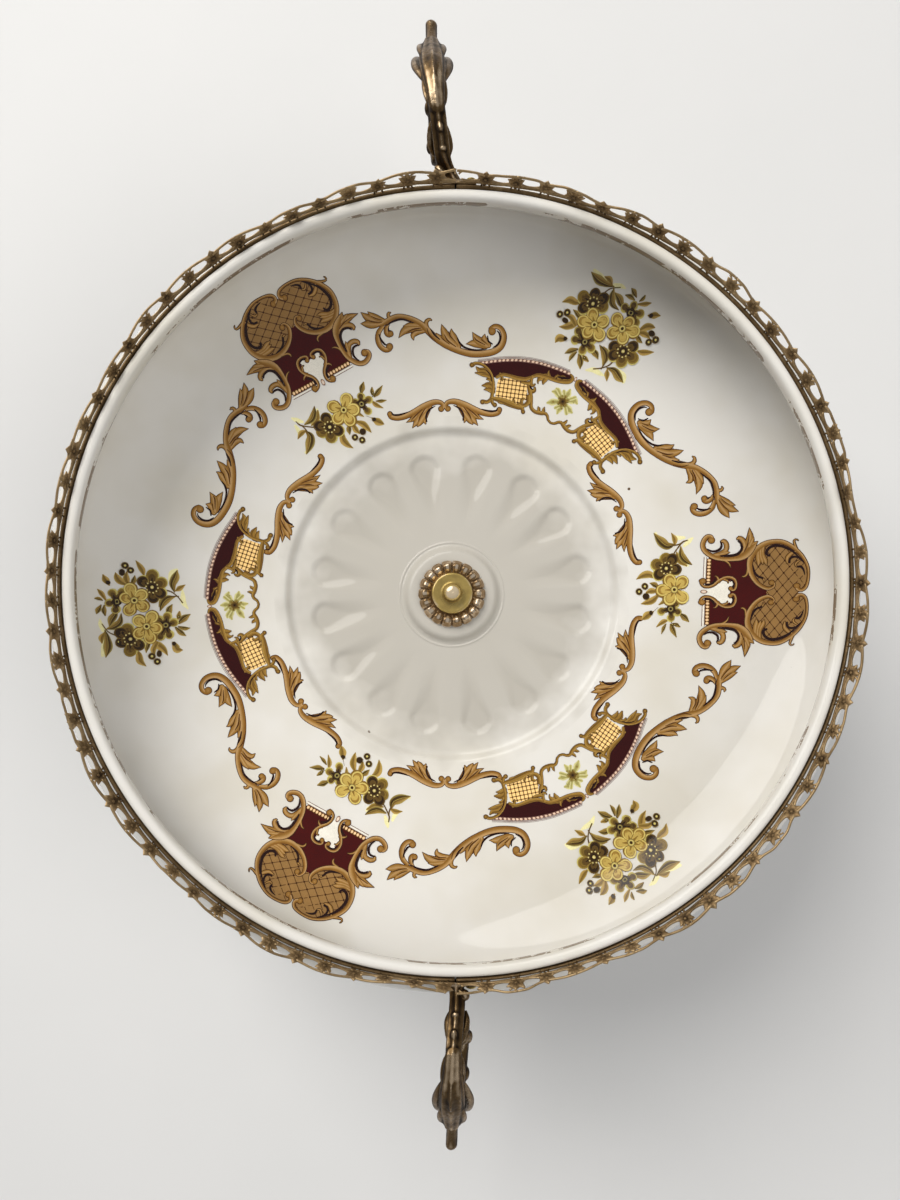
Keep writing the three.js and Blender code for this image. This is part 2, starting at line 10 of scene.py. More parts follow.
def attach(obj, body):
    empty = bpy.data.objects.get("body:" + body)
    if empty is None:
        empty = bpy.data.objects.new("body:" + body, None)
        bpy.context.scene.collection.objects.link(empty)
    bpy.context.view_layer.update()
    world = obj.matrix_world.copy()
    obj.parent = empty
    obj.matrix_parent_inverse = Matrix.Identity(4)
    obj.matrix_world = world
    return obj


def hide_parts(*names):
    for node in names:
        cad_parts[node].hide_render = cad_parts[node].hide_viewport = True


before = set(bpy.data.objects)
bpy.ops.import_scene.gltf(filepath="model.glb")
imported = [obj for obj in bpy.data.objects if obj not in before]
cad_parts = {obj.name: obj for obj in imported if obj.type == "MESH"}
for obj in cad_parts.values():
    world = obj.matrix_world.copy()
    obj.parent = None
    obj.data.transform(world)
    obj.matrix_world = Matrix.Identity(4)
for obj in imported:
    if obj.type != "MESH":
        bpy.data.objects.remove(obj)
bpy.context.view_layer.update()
mm = 0.001
print("frame loaded")


# small tools for curves and meshes, all in millimetres

def bezier(a, b, c, d, count):
    t = np.linspace(0, 1, count, endpoint=False)[:, None]
    a, b, c, d = (np.array(p, float) for p in (a, b, c, d))
    return (1 - t) ** 3 * a + 3 * (1 - t) ** 2 * t * b + 3 * (1 - t) * t ** 2 * c + t ** 3 * d


def line(a, b, count):
    t = np.linspace(0, 1, count, endpoint=False)[:, None]
    return (1 - t) * np.array(a, float) + t * np.array(b, float)


# points along straight steps, given as (count, end), and curved ones, given as (count, pull, pull, end)
def profilePath(start, *steps):
    parts = []
    for count, *ends in steps:
        parts.append(bezier(start, *ends, count) if len(ends) == 3 else line(start, *ends, count))
        start = ends[-1]
    return np.vstack(parts + [np.array([start], float)])


def smoothstep(low, high, value):
    t = np.clip((value - low) / (high - low), 0, 1)
    return t * t * (3 - 2 * t)


# a smooth line through the points, with a sample about every step of its length
def throughPoints(points, step, axes=3):
    p = np.array(points, float)
    padded = np.vstack([2 * p[0] - p[1], p, 2 * p[-1] - p[-2]])
    t = np.linspace(0, 1, 12, endpoint=False)[:, None]
    parts = []
    for i in range(len(p) - 1):
        a, b, c, d = padded[i:i + 4]
        parts.append(0.5 * (2 * b + (c - a) * t + (2 * a - 5 * b + 4 * c - d) * t ** 2
                            + (3 * b - a - 3 * c + d) * t ** 3))
    dense = np.vstack(parts + [p[-1:]])
    along = np.concatenate([[0], np.cumsum(np.linalg.norm(np.diff(dense[:, :axes], axis=0), axis=1))])
    count = max(4, int(round(along[-1] / step)) + 1)
    at = np.linspace(0, along[-1], count)
    return np.stack([np.interp(at, along, dense[:, k]) for k in range(dense.shape[1])], axis=1)


def unit(v):
    return v / np.maximum(np.linalg.norm(v, axis=-1, keepdims=True), 1e-9)


def turned(x, y, angle):
    c, s = math.cos(angle), math.sin(angle)
    return x * c - y * s, x * s + y * c


def roundAngles(count):
    return np.arange(count) * 2 * math.pi / count


def gridFaces(rows, cols, wrapRows=False, wrapCols=True):
    i, j = np.meshgrid(np.arange(rows if wrapRows else rows - 1), np.arange(cols if wrapCols else cols - 1),
                       indexing="ij")
    i, j = i.ravel(), j.ravel()
    ii, jj = (i + 1) % rows, (j + 1) % cols
    return np.stack([i * cols + j, i * cols + jj, ii * cols + jj, ii * cols + j], axis=1).tolist()


# points and faces of several closed forms, gathered for one mesh
class Shape:
    def __init__(self):
        self.points, self.faces, self.count = [], [], 0

    def add(self, points, faces):
        points = np.asarray(points, float)
        self.faces += [[k + self.count for k in f] for f in faces]
        self.points.append(points)
        self.count += len(points)

    # a tube of rings, closed at both ends
    def addGrid(self, grid):
        rows, cols = grid.shape[:2]
        points = np.vstack([grid.reshape(-1, 3), grid[0].mean(0), grid[-1].mean(0)])
        faces = gridFaces(rows, cols)
        first, last = rows * cols, (rows - 1) * cols
        for k in range(cols):
            n = (k + 1) % cols
            faces.append([first, n, k])
            faces.append([first + 1, last + k, last + n])
        self.add(points, faces)

    def all(self):
        return np.vstack(self.points)


def makeMesh(name, points, faces):
    mesh = bpy.data.meshes.new(name)
    mesh.from_pydata((np.asarray(points) * mm).tolist(), [], faces)
    mesh.update()
    mesh.shade_smooth()
    return mesh


def addObject(name, data):
    obj = bpy.data.objects.new(name, data)
    bpy.context.scene.collection.objects.link(obj)
    return obj


# a piece of the part, in the place of the solids that it replaces
def addPiece(name, mesh, material, slot, *replaced):
    obj = addObject(name, mesh)
    mesh.materials.append(material)
    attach(obj, "root")
    if replaced:
        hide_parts(*replaced)
    return obj


def faceOutward(mesh):
    work = bmesh.new()
    work.from_mesh(mesh)
    bmesh.ops.recalc_face_normals(work, faces=work.faces)
    work.to_mesh(mesh)
    work.free()


# one smooth skin round all the forms of a casting
def castMesh(name, shape, voxel, rounds):
    rough = addObject("rough " + name, makeMesh("rough " + name, shape.all(), shape.faces))
    merge = rough.modifiers.new("merge", "REMESH")
    merge.mode = "VOXEL"
    merge.voxel_size = voxel * mm
    soften = rough.modifiers.new("soften", "SMOOTH")
    soften.factor, soften.iterations = 0.5, rounds
    bpy.context.view_layer.update()
    mesh = bpy.data.meshes.new_from_object(rough.evaluated_get(bpy.context.evaluated_depsgraph_get()))
    bpy.data.objects.remove(rough)
    mesh.name = name
    mesh.shade_smooth()
    mesh.materials.clear()
    print(name, "made", len(mesh.polygons))
    return mesh


# the points of a mesh ("co") or their normals ("normal")
def meshVectors(mesh, key):
    values = np.empty(len(mesh.vertices) * 3, np.float32)
    mesh.vertices.foreach_get(key, values)
    return values.reshape(-1, 3).astype(float)


# writes how hollow or how proud each point is, from -1 to 1, for grime and worn edges
def addRelief(mesh, rounds, reach):
    edges = np.empty(len(mesh.edges) * 2, np.int32)
    mesh.edges.foreach_get("vertices", edges)
    a, b = edges.reshape(-1, 2).T
    co = meshVectors(mesh, "co")
    number = np.bincount(a, minlength=len(co)) + np.bincount(b, minlength=len(co))
    soft = co.copy()
    for _ in range(rounds):
        total = np.zeros_like(soft)
        for k in range(3):
            total[:, k] = np.bincount(a, soft[b, k], len(co)) + np.bincount(b, soft[a, k], len(co))
        soft = 0.3 * soft + 0.7 * total / np.maximum(number, 1)[:, None]
    relief = np.einsum("ij,ij->i", co - soft, meshVectors(mesh, "normal")) / (reach * mm)
    layer = mesh.attributes.new("relief", "FLOAT", "POINT")
    layer.data.foreach_set("value", np.clip(relief, -1, 1).astype(np.float32))


# adds to the relief of each point; the pieces use it to paint highlight and shade into the metal's colour
def shiftRelief(mesh, amount):
    layer = mesh.attributes["relief"].data
    relief = np.empty(len(layer), np.float32)
    layer.foreach_get("value", relief)
    layer.foreach_set("value", (relief + amount).astype(np.float32))


# turns a closed profile of (radius, height) round the axis. press changes the points as it goes
def revolve(profile, segments, press=None):
    a = np.ones(len(profile))[:, None] * roundAngles(segments)
    r, z = (profile[:, k][:, None] * np.ones(segments) for k in (0, 1))
    if press:
        r, z = press(r, z, a)
    grid = np.stack([r * np.cos(a), r * np.sin(a), z], axis=2)
    return grid.reshape(-1, 3), gridFaces(len(profile), segments, wrapRows=True)


# a turned piece of brass, with its relief
def turnedPiece(name, profile, segments, press, material, slot, replaced, rounds, reach):
    points, faces = revolve(profile, segments, press)
    mesh = makeMesh(name, points, faces)
    addPiece(name, mesh, material, slot, replaced)
    faceOutward(mesh)
    addRelief(mesh, rounds, reach)
    return mesh, points


# materials

def newMaterial(name):
    material = bpy.data.materials.new(name)
    material.use_nodes = True
    tree = material.node_tree
    return material, tree, tree.nodes["Principled BSDF"]


def node(tree, kind, values=None, **settings):
    made = tree.nodes.new(kind)
    for key, value in settings.items():
        setattr(made, key, value)
    for key, value in (values or {}).items():
        made.inputs[key].default_value = value
    return made


def mapRange(tree, source, low, high, toLow=0.0, toHigh=1.0):
    made = node(tree, "ShaderNodeMapRange", {"From Min": low, "From Max": high, "To Min": toLow,
                                             "To Max": toHigh})
    tree.links.new(source, made.inputs["Value"])
    return made.outputs["Result"]


def mixColour(tree, factor, a, b, blend="MIX"):
    made = node(tree, "ShaderNodeMix", data_type="RGBA", blend_type=blend)
    for value, socket in ((factor, 0), (a, 6), (b, 7)):
        if isinstance(value, (int, float, tuple)):
            made.inputs[socket].default_value = value
        else:
            tree.links.new(value, made.inputs[socket])
    return made.outputs[2]


def mathNode(tree, operation, a, b=0.5, clamp=False):
    made = node(tree, "ShaderNodeMath", operation=operation, use_clamp=clamp)
    for value, socket in ((a, 0), (b, 1)):
        if isinstance(value, (int, float)):
            made.inputs[socket].default_value = value
        else:
            tree.links.new(value, made.inputs[socket])
    return made.outputs[0]


def noiseNode(tree, vector, scale, detail=3.0, roughness=0.55):
    made = node(tree, "ShaderNodeTexNoise", {"Scale": scale, "Detail": detail, "Roughness": roughness})
    tree.links.new(vector, made.inputs["Vector"])
    return made.outputs["Fac"]


# tarnish in hollows, bright worn edges, painted highlight and shade, and a mottled body, for every metal
# piece
def agedMetalGroup():
    group = bpy.data.node_groups.new("agedMetal", "ShaderNodeTree")
    face = group.interface
    for name in ("Body", "HollowAndShade", "WornAndLit"):
        face.new_socket(name=name, in_out="INPUT", socket_type="NodeSocketColor")
    for name, value in (("Relief", 0.0), ("GrimeAndShade", 0.6), ("WearAndHighlight", 0.5), ("Mottle", 0.5),
                        ("Mottle Scale", 90.0), ("Grain Scale", 900.0)):
        face.new_socket(name=name, in_out="INPUT", socket_type="NodeSocketFloat").default_value = value
    face.new_socket(name="Colour", in_out="OUTPUT", socket_type="NodeSocketColor")
    for name in ("Roughness", "Height"):
        face.new_socket(name=name, in_out="OUTPUT", socket_type="NodeSocketFloat")
    inside = group.nodes.new("NodeGroupInput").outputs
    outside = group.nodes.new("NodeGroupOutput").inputs
    place = group.nodes.new("ShaderNodeTexCoord").outputs["Object"]
    mottle = group.nodes.new("ShaderNodeTexNoise")
    mottle.inputs["Detail"].default_value = 4
    group.links.new(place, mottle.inputs["Vector"])
    group.links.new(inside["Mottle Scale"], mottle.inputs["Scale"])
    grain = group.nodes.new("ShaderNodeTexNoise")
    grain.inputs["Detail"].default_value = 3
    group.links.new(place, grain.inputs["Vector"])
    group.links.new(inside["Grain Scale"], grain.inputs["Scale"])
    blotch = mapRange(group, mottle.outputs["Fac"], 0.36, 0.64)
    speckle = mapRange(group, grain.outputs["Fac"], 0.35, 0.65)
    jitter = mathNode(group, "MULTIPLY", mathNode(group, "SUBTRACT", blotch, 0.5), 0.5)
    relief = mathNode(group, "ADD", inside["Relief"], jitter)
    hollowAndShade = mathNode(group, "MULTIPLY", mapRange(group, relief, 0.05, -0.55), inside["GrimeAndShade"], clamp=True)
    wornAndLit = mathNode(group, "MULTIPLY", mapRange(group, relief, 0.15, 0.75), inside["WearAndHighlight"], clamp=True)
    dull = mathNode(group, "MULTIPLY", mathNode(group, "MULTIPLY", blotch, speckle), inside["Mottle"],
                    clamp=True)
    colour = mixColour(group, dull, inside["Body"], inside["HollowAndShade"])
    colour = mixColour(group, hollowAndShade, colour, inside["HollowAndShade"])
    colour = mixColour(group, wornAndLit, colour, inside["WornAndLit"])
    rough = mathNode(group, "ADD", mathNode(group, "MULTIPLY", hollowAndShade, 0.3),
                     mathNode(group, "MULTIPLY", dull, 0.2))
    rough = mathNode(group, "SUBTRACT", rough, mathNode(group, "MULTIPLY", wornAndLit, 0.1))
    group.links.new(colour, outside["Colour"])
    group.links.new(mathNode(group, "ADD", rough, 0.3, clamp=True), outside["Roughness"])
    group.links.new(mathNode(group, "MULTIPLY", speckle, 0.5), outside["Height"])
    return group


agedMetal = agedMetalGroup()


# look holds three colours, how much metal, grime and painted shade, wear and painted highlight and mottle
# show, the scales of mottle and grain, the strength of the bump and a shift of the roughness
def metalMaterial(name, look):
    material, tree, shader = newMaterial(name)
    aged = tree.nodes.new("ShaderNodeGroup")
    aged.node_tree = agedMetal
    for socket, key in (("Body", "body"), ("HollowAndShade", "hollowAndShade"), ("WornAndLit", "wornAndLit")):
        aged.inputs[socket].default_value = (*look[key], 1)
    for socket, key in (("GrimeAndShade", "grimeAndShade"), ("WearAndHighlight", "wear"), ("Mottle", "mottle"), ("Mottle Scale", "scale"),
                        ("Grain Scale", "grain")):
        aged.inputs[socket].default_value = look[key]
    relief = node(tree, "ShaderNodeAttribute", attribute_name="relief")
    tree.links.new(relief.outputs["Fac"], aged.inputs["Relief"])
    bump = node(tree, "ShaderNodeBump", {"Strength": look["bump"], "Distance": 0.0002})
    tree.links.new(aged.outputs["Height"], bump.inputs["Height"])
    tree.links.new(bump.outputs["Normal"], shader.inputs["Normal"])
    tree.links.new(aged.outputs["Colour"], shader.inputs["Base Color"])
    tree.links.new(mathNode(tree, "ADD", aged.outputs["Roughness"], look["dullness"], clamp=True),
                   shader.inputs["Roughness"])
    shader.inputs["Metallic"].default_value = look["metallic"]
    return material


stampedBrass = metalMaterial("stamped brass", {
    "body": (0.235, 0.15, 0.068), "hollowAndShade": (0.030, 0.016, 0.007), "wornAndLit": (0.66, 0.47, 0.25),
    "metallic": 0.8, "grimeAndShade": 0.95, "wear": 0.6, "mottle": 0.5, "scale": 160.0, "grain": 1400.0, "bump": 0.3,
    "dullness": 0.1,
})
castBrass = metalMaterial("cast brass", {
    "body": (0.20, 0.122, 0.05), "hollowAndShade": (0.022, 0.012, 0.006), "wornAndLit": (0.86, 0.65, 0.42), "metallic": 0.9,
    "grimeAndShade": 0.95, "wear": 0.9, "mottle": 0.6, "scale": 150.0, "grain": 1100.0, "bump": 0.35,
    "dullness": -0.04,
})
polishedBrass = metalMaterial("polished brass", {
    "body": (0.58, 0.42, 0.13), "hollowAndShade": (0.12, 0.07, 0.025), "wornAndLit": (0.95, 0.78, 0.56), "metallic": 0.65,
    "grimeAndShade": 0.6, "wear": 0.8, "mottle": 0.12, "scale": 200.0, "grain": 1500.0, "bump": 0.08,
    "dullness": -0.13,
})
rosetteBrass = metalMaterial("rosette brass", {
    "body": (0.34, 0.22, 0.11), "hollowAndShade": (0.09, 0.05, 0.025), "wornAndLit": (0.95, 0.78, 0.58), "metallic": 0.85,
    "grimeAndShade": 0.6, "wear": 0.9, "mottle": 0.25, "scale": 200.0, "grain": 1500.0, "bump": 0.15,
    "dullness": -0.12,
})
plainSteel = metalMaterial("plain steel", {
    "body": (0.42, 0.41, 0.39), "hollowAndShade": (0.16, 0.13, 0.11), "wornAndLit": (0.6, 0.6, 0.58), "metallic": 1.0,
    "grimeAndShade": 0.5, "wear": 0.4, "mottle": 0.4, "scale": 220.0, "grain": 1600.0, "bump": 0.2, "dullness": 0.02,
})


def feltMaterial():
    material, tree, shader = newMaterial("pressed felt")
    place = tree.nodes.new("ShaderNodeTexCoord").outputs["Object"]
    fibres = noiseNode(tree, place, 2200.0, 5.0, 0.7)
    patches = noiseNode(tree, place, 150.0, 2.0)
    mix = mathNode(tree, "MULTIPLY", fibres, patches)
    colour = mixColour(tree, mapRange(tree, mix, 0.15, 0.42), (0.035, 0.022, 0.012, 1),
                       (0.12, 0.08, 0.045, 1))
    tree.links.new(colour, shader.inputs["Base Color"])
    bump = node(tree, "ShaderNodeBump", {"Strength": 0.8, "Distance": 0.0003})
    tree.links.new(fibres, bump.inputs["Height"])
    tree.links.new(bump.outputs["Normal"], shader.inputs["Normal"])
    shader.inputs["Roughness"].default_value = 0.95
    shader.inputs["Sheen Weight"].default_value = 0.4
    return material


pressedFelt = feltMaterial()

# the wellShade keys hold painted shade in the well and in the hollows of its flutes
glaze = {
    "white": (0.66, 0.64, 0.595), "warm": (0.60, 0.57, 0.50), "speck": (0.12, 0.08, 0.05), "roughness": 0.04,
    "gilt": (0.13, 0.075, 0.028), "wellShade": (0.425, 0.400, 0.350), "wellShadeRadius": 69.0, "wellShadeSoft": 20.0,
    "wellShadeHeight": (73.5, 79.6), "fluteShadeFrom": 76.1, "fluteShadeTo": 75.2,
}


# white glaze with faint clouds, a few specks, painted shade in the well and worn gilt lines. A line lies
# between two radii and two heights, and its last value says how much of it is worn away
def glazeMaterial(name, giltLines):
    material, tree, shader = newMaterial(name)
    place = tree.nodes.new("ShaderNodeTexCoord").outputs["Object"]
    clouds = noiseNode(tree, place, 22.0, 3.0)
    colour = mixColour(tree, mapRange(tree, clouds, 0.4, 0.65), (*glaze["white"], 1), (*glaze["warm"], 1))
    speckles = node(tree, "ShaderNodeTexVoronoi", {"Scale": 75.0, "Randomness": 1.0})
    tree.links.new(place, speckles.inputs["Vector"])
    few = noiseNode(tree, place, 31.0, 1.0)
    dot = mathNode(tree, "LESS_THAN", speckles.outputs["Distance"], 0.045)
    dot = mathNode(tree, "MULTIPLY", dot, mathNode(tree, "GREATER_THAN", few, 0.6))
    colour = mixColour(tree, dot, colour, (*glaze["speck"], 1))
    parts = node(tree, "ShaderNodeSeparateXYZ")
    tree.links.new(place, parts.inputs[0])
    flat = mathNode(tree, "SQRT", mathNode(tree, "ADD", mathNode(tree, "MULTIPLY", parts.outputs[0],
                                                                 parts.outputs[0]),
                                           mathNode(tree, "MULTIPLY", parts.outputs[1], parts.outputs[1])),
                                           0.5)
    height = parts.outputs[2]

    def between(value, low, high):
        return mathNode(tree, "MULTIPLY", mathNode(tree, "GREATER_THAN", value, low * mm),
                        mathNode(tree, "LESS_THAN", value, high * mm))

    # painted shade: the well is greyer towards its middle and in the hollows of the flutes
    uneven = mathNode(tree, "MULTIPLY", mathNode(tree, "SUBTRACT", noiseNode(tree, place, 75.0, 2.0), 0.5),
                      0.03)
    reach = mathNode(tree, "ADD", flat, uneven)
    outer, inner = glaze["wellShadeRadius"] * mm, (glaze["wellShadeRadius"] - glaze["wellShadeSoft"]) * mm
    wellShade = mathNode(tree, "ADD", mapRange(tree, reach, outer, inner, 0.0, 0.88),
                    mapRange(tree, height, glaze["fluteShadeFrom"] * mm, glaze["fluteShadeTo"] * mm, 0.0, 0.12))
    wellShade = mathNode(tree, "MULTIPLY", between(height, *glaze["wellShadeHeight"]), wellShade, clamp=True)
    colour = mixColour(tree, wellShade, colour, (*glaze["wellShade"], 1))
    wobble = mathNode(tree, "MULTIPLY", mathNode(tree, "SUBTRACT", noiseNode(tree, place, 38.0, 2.0), 0.5),
                      0.0026)
    swell, fray = noiseNode(tree, place, 34.0, 3.0), noiseNode(tree, place, 420.0, 3.0, 0.7)
    for lowR, highR, lowZ, highZ, wear in giltLines:
        half = (highR - lowR) / 2
        off = mathNode(tree, "ABSOLUTE", mathNode(tree, "SUBTRACT", mathNode(tree, "ADD", flat, wobble),
                                                  (lowR + half) * mm))
        width = mapRange(tree, swell, wear - 0.02, wear + 0.16, 0.0, half * mm)
        width = mathNode(tree, "MULTIPLY", width, mapRange(tree, fray, 0.36, 0.62, 0.1, 1.1))
        mask = mathNode(tree, "MULTIPLY", mathNode(tree, "LESS_THAN", off, width),
                        between(height, lowZ, highZ))
        colour = mixColour(tree, mathNode(tree, "MULTIPLY", mask, 0.8), colour, (*glaze["gilt"], 1))
    tree.links.new(colour, shader.inputs["Base Color"])
    ripple = node(tree, "ShaderNodeBump", {"Strength": 0.08, "Distance": 0.001})
    tree.links.new(noiseNode(tree, place, 55.0, 2.0), ripple.inputs["Height"])
    tree.links.new(ripple.outputs["Normal"], shader.inputs["Normal"])
    shader.inputs["Roughness"].default_value = glaze["roughness"]
    shader.inputs["IOR"].default_value = 1.52
    return material


# porcelain bowl

rodHole = 2.65  # in every piece of brass that the tie rod goes through
bowl = {
    "rimTop": 128.2, "lipRadius": 132.0, "lipWidth": 4.6, "lipNeckDrop": 5.4, "neckTuck": 1.4,
    "bellyRadius": 142.5, "bellyDrop": 18.0, "wall": 5.0, "floorRadius": 65.6, "floorStep": 3.0,
    "floorSlope": 4.6, "wellFloor": 76.2, "underside": 71.2, "footBottom": 66.7, "footInner": 27.0,
    "footOuter": 34.0, "bore": 3.7, "bossRadius": 16.5, "bossTop": 79.2, "ringRadius": 20.2,
    "ringHeight": 0.32, "flutes": 16, "fluteDepth": 1.1, "fluteTurn": 11.25, "fluteInner": 24.0,
    "fluteCentre": 49.5, "fluteEnd": 6.4, "fluteFade": 19.0, "segments": 420,
}
belly = bowl["rimTop"] - bowl["bellyDrop"]
# the inside of the bowl from the edge of the well up to its widest place
wellEdge = (bowl["floorRadius"], bowl["wellFloor"] + bowl["floorStep"])
floorCurve = [(bowl["floorRadius"] + 36, wellEdge[1] + 4.5),
              (bowl["bellyRadius"] - bowl["wall"], bowl["wellFloor"] + 14.04),
              (bowl["bellyRadius"] - bowl["wall"], belly)]


def bowlProfile():
    lip, top, tuck = bowl["lipRadius"], bowl["rimTop"], bowl["neckTuck"]
    beadInner, beadMiddle = lip - bowl["lipWidth"], lip - bowl["lipWidth"] / 2
    neck, outer, inner = top - bowl["lipNeckDrop"], bowl["bellyRadius"], bowl["bellyRadius"] - bowl["wall"]
    under, well, between = bowl["underside"], bowl["wellFloor"], (belly + neck) / 2
    floor, slope, boss = bowl["floorRadius"], bowl["floorRadius"] - bowl["floorSlope"], bowl["bossRadius"]
    foot, inside, outside = bowl["footBottom"], bowl["footInner"], bowl["footOuter"]
    return profilePath(
        (bowl["bore"], under), (6, (inside, under)), (1, (inside + 0.5, foot + 0.5)),
        (1, (inside + 1.2, foot)), (1, (outside - 1.2, foot)), (1, (outside - 0.5, foot + 0.5)),
        (1, (outside, under)), (6, (floor, under + 0.4)),
        (34, (floor + 38, under + 4.5), (outer, under + 12.48), (outer, belly)),
        (12, (outer, between), (lip + tuck, neck - 1.4), (lip - tuck, neck)),
        (10, (lip + 0.4, top - 3), (lip, top), (beadMiddle, top)),
        (10, (beadInner, top), (beadInner - 0.2, top - 3), (beadInner + tuck / 2, neck)),
        (12, (beadInner + 4.4, neck - 2), (inner, between), (inner, belly)),
        (46, floorCurve[1], floorCurve[0], wellEdge), (8, (floor - 1.8, wellEdge[1]), (slope + 2.2, well),
                                                       (slope, well)),
        (36, (46, well)), (25, (bowl["ringRadius"] + 1.5, well)), (9, (boss + 3, well)),
        (7, (boss + 1.5, well + 0.2), (boss + 1, bowl["bossTop"]), (boss - 1, bowl["bossTop"])),
        (5, (bowl["bore"], bowl["bossTop"])))


# petal-shaped hollows in the well, crisp and round at the outer end and running out towards the middle
def pressFlutes(r, z, a):
    well, ring = bowl["wellFloor"], bowl["ringRadius"]
    onWell = np.abs(z - well) < 0.02
    part = math.pi / bowl["flutes"]
    turn = a - math.radians(bowl["fluteTurn"]) + part
    number = np.floor(turn / (2 * part))
    off = turn % (2 * part) - part - 0.02 * np.sin(2.1 * number)
    along, aside = r * np.cos(off), r * np.abs(np.sin(off))
    start, centre = bowl["fluteInner"], bowl["fluteCentre"]
    inside = (bowl["fluteEnd"] * np.clip(0.2 + 0.8 * r / centre, 0, 1)
              - np.hypot(aside, np.maximum(along - centre, 0)))
    scoop = smoothstep(-0.4, 6.2 - 3.6 * smoothstep(centre - 10, centre + 2, along), inside)
    fade = smoothstep(start, start + bowl["fluteFade"], r)
    depth = bowl["fluteDepth"] * (1 + 0.16 * np.sin(1.7 * number))
    z = z - np.where(onWell & (r > start), depth * scoop * fade, 0)
    # two fine rings round the seat
    rings = np.exp(-((r - ring) / 0.35) ** 2) + 0.7 * np.exp(-((r - ring + 1.1) / 0.3) ** 2)
    nearSeat = (r < ring + 1.5) & (z < well + 1) & (z > well - 1)
    return r, z + np.where(onWell | nearSeat, bowl["ringHeight"] * rings, 0)


bowlGlaze = glazeMaterial("porcelain glaze", [(126.9, 128.6, 121.0, 126.2, 0.47)])
points, faces = revolve(bowlProfile(), bowl["segments"], pressFlutes)
addPiece("porcelain_bowl", makeMesh("porcelain_bowl", points, faces), bowlGlaze, "porcelain", "bowl")
print("bowl made", len(faces))


# painted decoration, laid over the glaze as a thin film of colour

film = {"lift": 0.03, "layer": 0.002, "step": 0.5, "outline": 0.25, "fineOutline": 0.18, "thinnest": 0.03}
# the bowl's inner wall, from its middle to its lip
floorLine = profilePath((0, bowl["wellFloor"]), (4, wellEdge), (160, *floorCurve))
floorSlope = np.gradient(floorLine[:, 1], floorLine[:, 0])

paints = {
    "outline": (62, 36, 14), "goldLight": (170, 134, 86), "gold": (147, 110, 53), "goldDeep": (126, 86, 34),
    "shade": (36, 15, 8), "vein": (74, 42, 12), "maroon": (62, 8, 4), "maroonDeep": (46, 6, 4),
    "lattice": (140, 106, 60), "latticeLine": (82, 52, 26), "patch": (240, 202, 132),
    "patchLine": (146, 108, 58), "white": (222, 217, 204), "bead": (214, 180, 152), "pearl": (226, 186, 134),
    "rule": (104, 74, 66), "olive": (184, 157, 80), "oliveRim": (208, 190, 110), "oliveDeep": (146, 114, 46),
    "dark": (84, 63, 25), "darkRim": (148, 126, 58), "darkDeep": (44, 29, 9), "mid": (122, 97, 38),
    "leafTip": (192, 178, 100), "tan": (164, 132, 68), "tanDeep": (120, 92, 38), "stalk": (92, 70, 34),
    "halo": (226, 219, 164), "palest": (208, 202, 156), "pale": (184, 176, 112), "paleDeep": (150, 142, 82),
    "dot": (224, 212, 148), "bronze": (140, 106, 44), "bronzeLight": (170, 138, 72),
    "bronzeDeep": (86, 58, 20),
}
# colours across a brush stroke, from one edge to the other
strokeTones = {
    "gold": ("goldLight", "goldLight", "gold", "goldDeep", "goldDeep"),
    "leaf": ("goldDeep", "gold", "goldLight", "gold", "goldDeep"),
    "bronze": ("bronzeLight", "bronze", "bronze", "bronzeDeep", "bronze"),
    "darkLeaf": ("mid", "darkDeep", "darkDeep", "tanDeep", "mid"),
    "darkTip": ("leafTip", "dark", "dark", "tan", "leafTip"),
    "tanLeaf": ("tan", "mid", "mid", "tan", "tan"),
    "tanTip": ("leafTip", "tanDeep", "tanDeep", "tan", "leafTip"),
    "lightRoot": ("oliveDeep", "tanDeep", "oliveDeep"), "darkRoot": ("darkDeep", "darkDeep", "darkDeep"),
    "starLeaf": ("palest", "pale", "paleDeep", "pale", "palest"),
}


def paintColour(name):
    value = np.array(paints[name]) / 255
    return np.where(value < 0.04045, value / 12.92, ((value + 0.055) / 1.055) ** 2.4)


def closedEdge(corners):
    return throughPoints(list(corners) + [corners[0]], 0.9, 2)[:-1]


# which of the points lie inside a closed line
def insideLine(points, edge):
    x, y = points[:, 0][:, None], points[:, 1][:, None]
    a, b = edge, np.roll(edge, -1, axis=0)
    crosses = (a[:, 1] > y) != (b[:, 1] > y)
    with np.errstate(divide="ignore", invalid="ignore"):
        at = a[:, 0] + (y - a[:, 1]) / (b[:, 1] - a[:, 1]) * (b[:, 0] - a[:, 0])
    return (crosses & (x < at)).sum(1) % 2 == 1


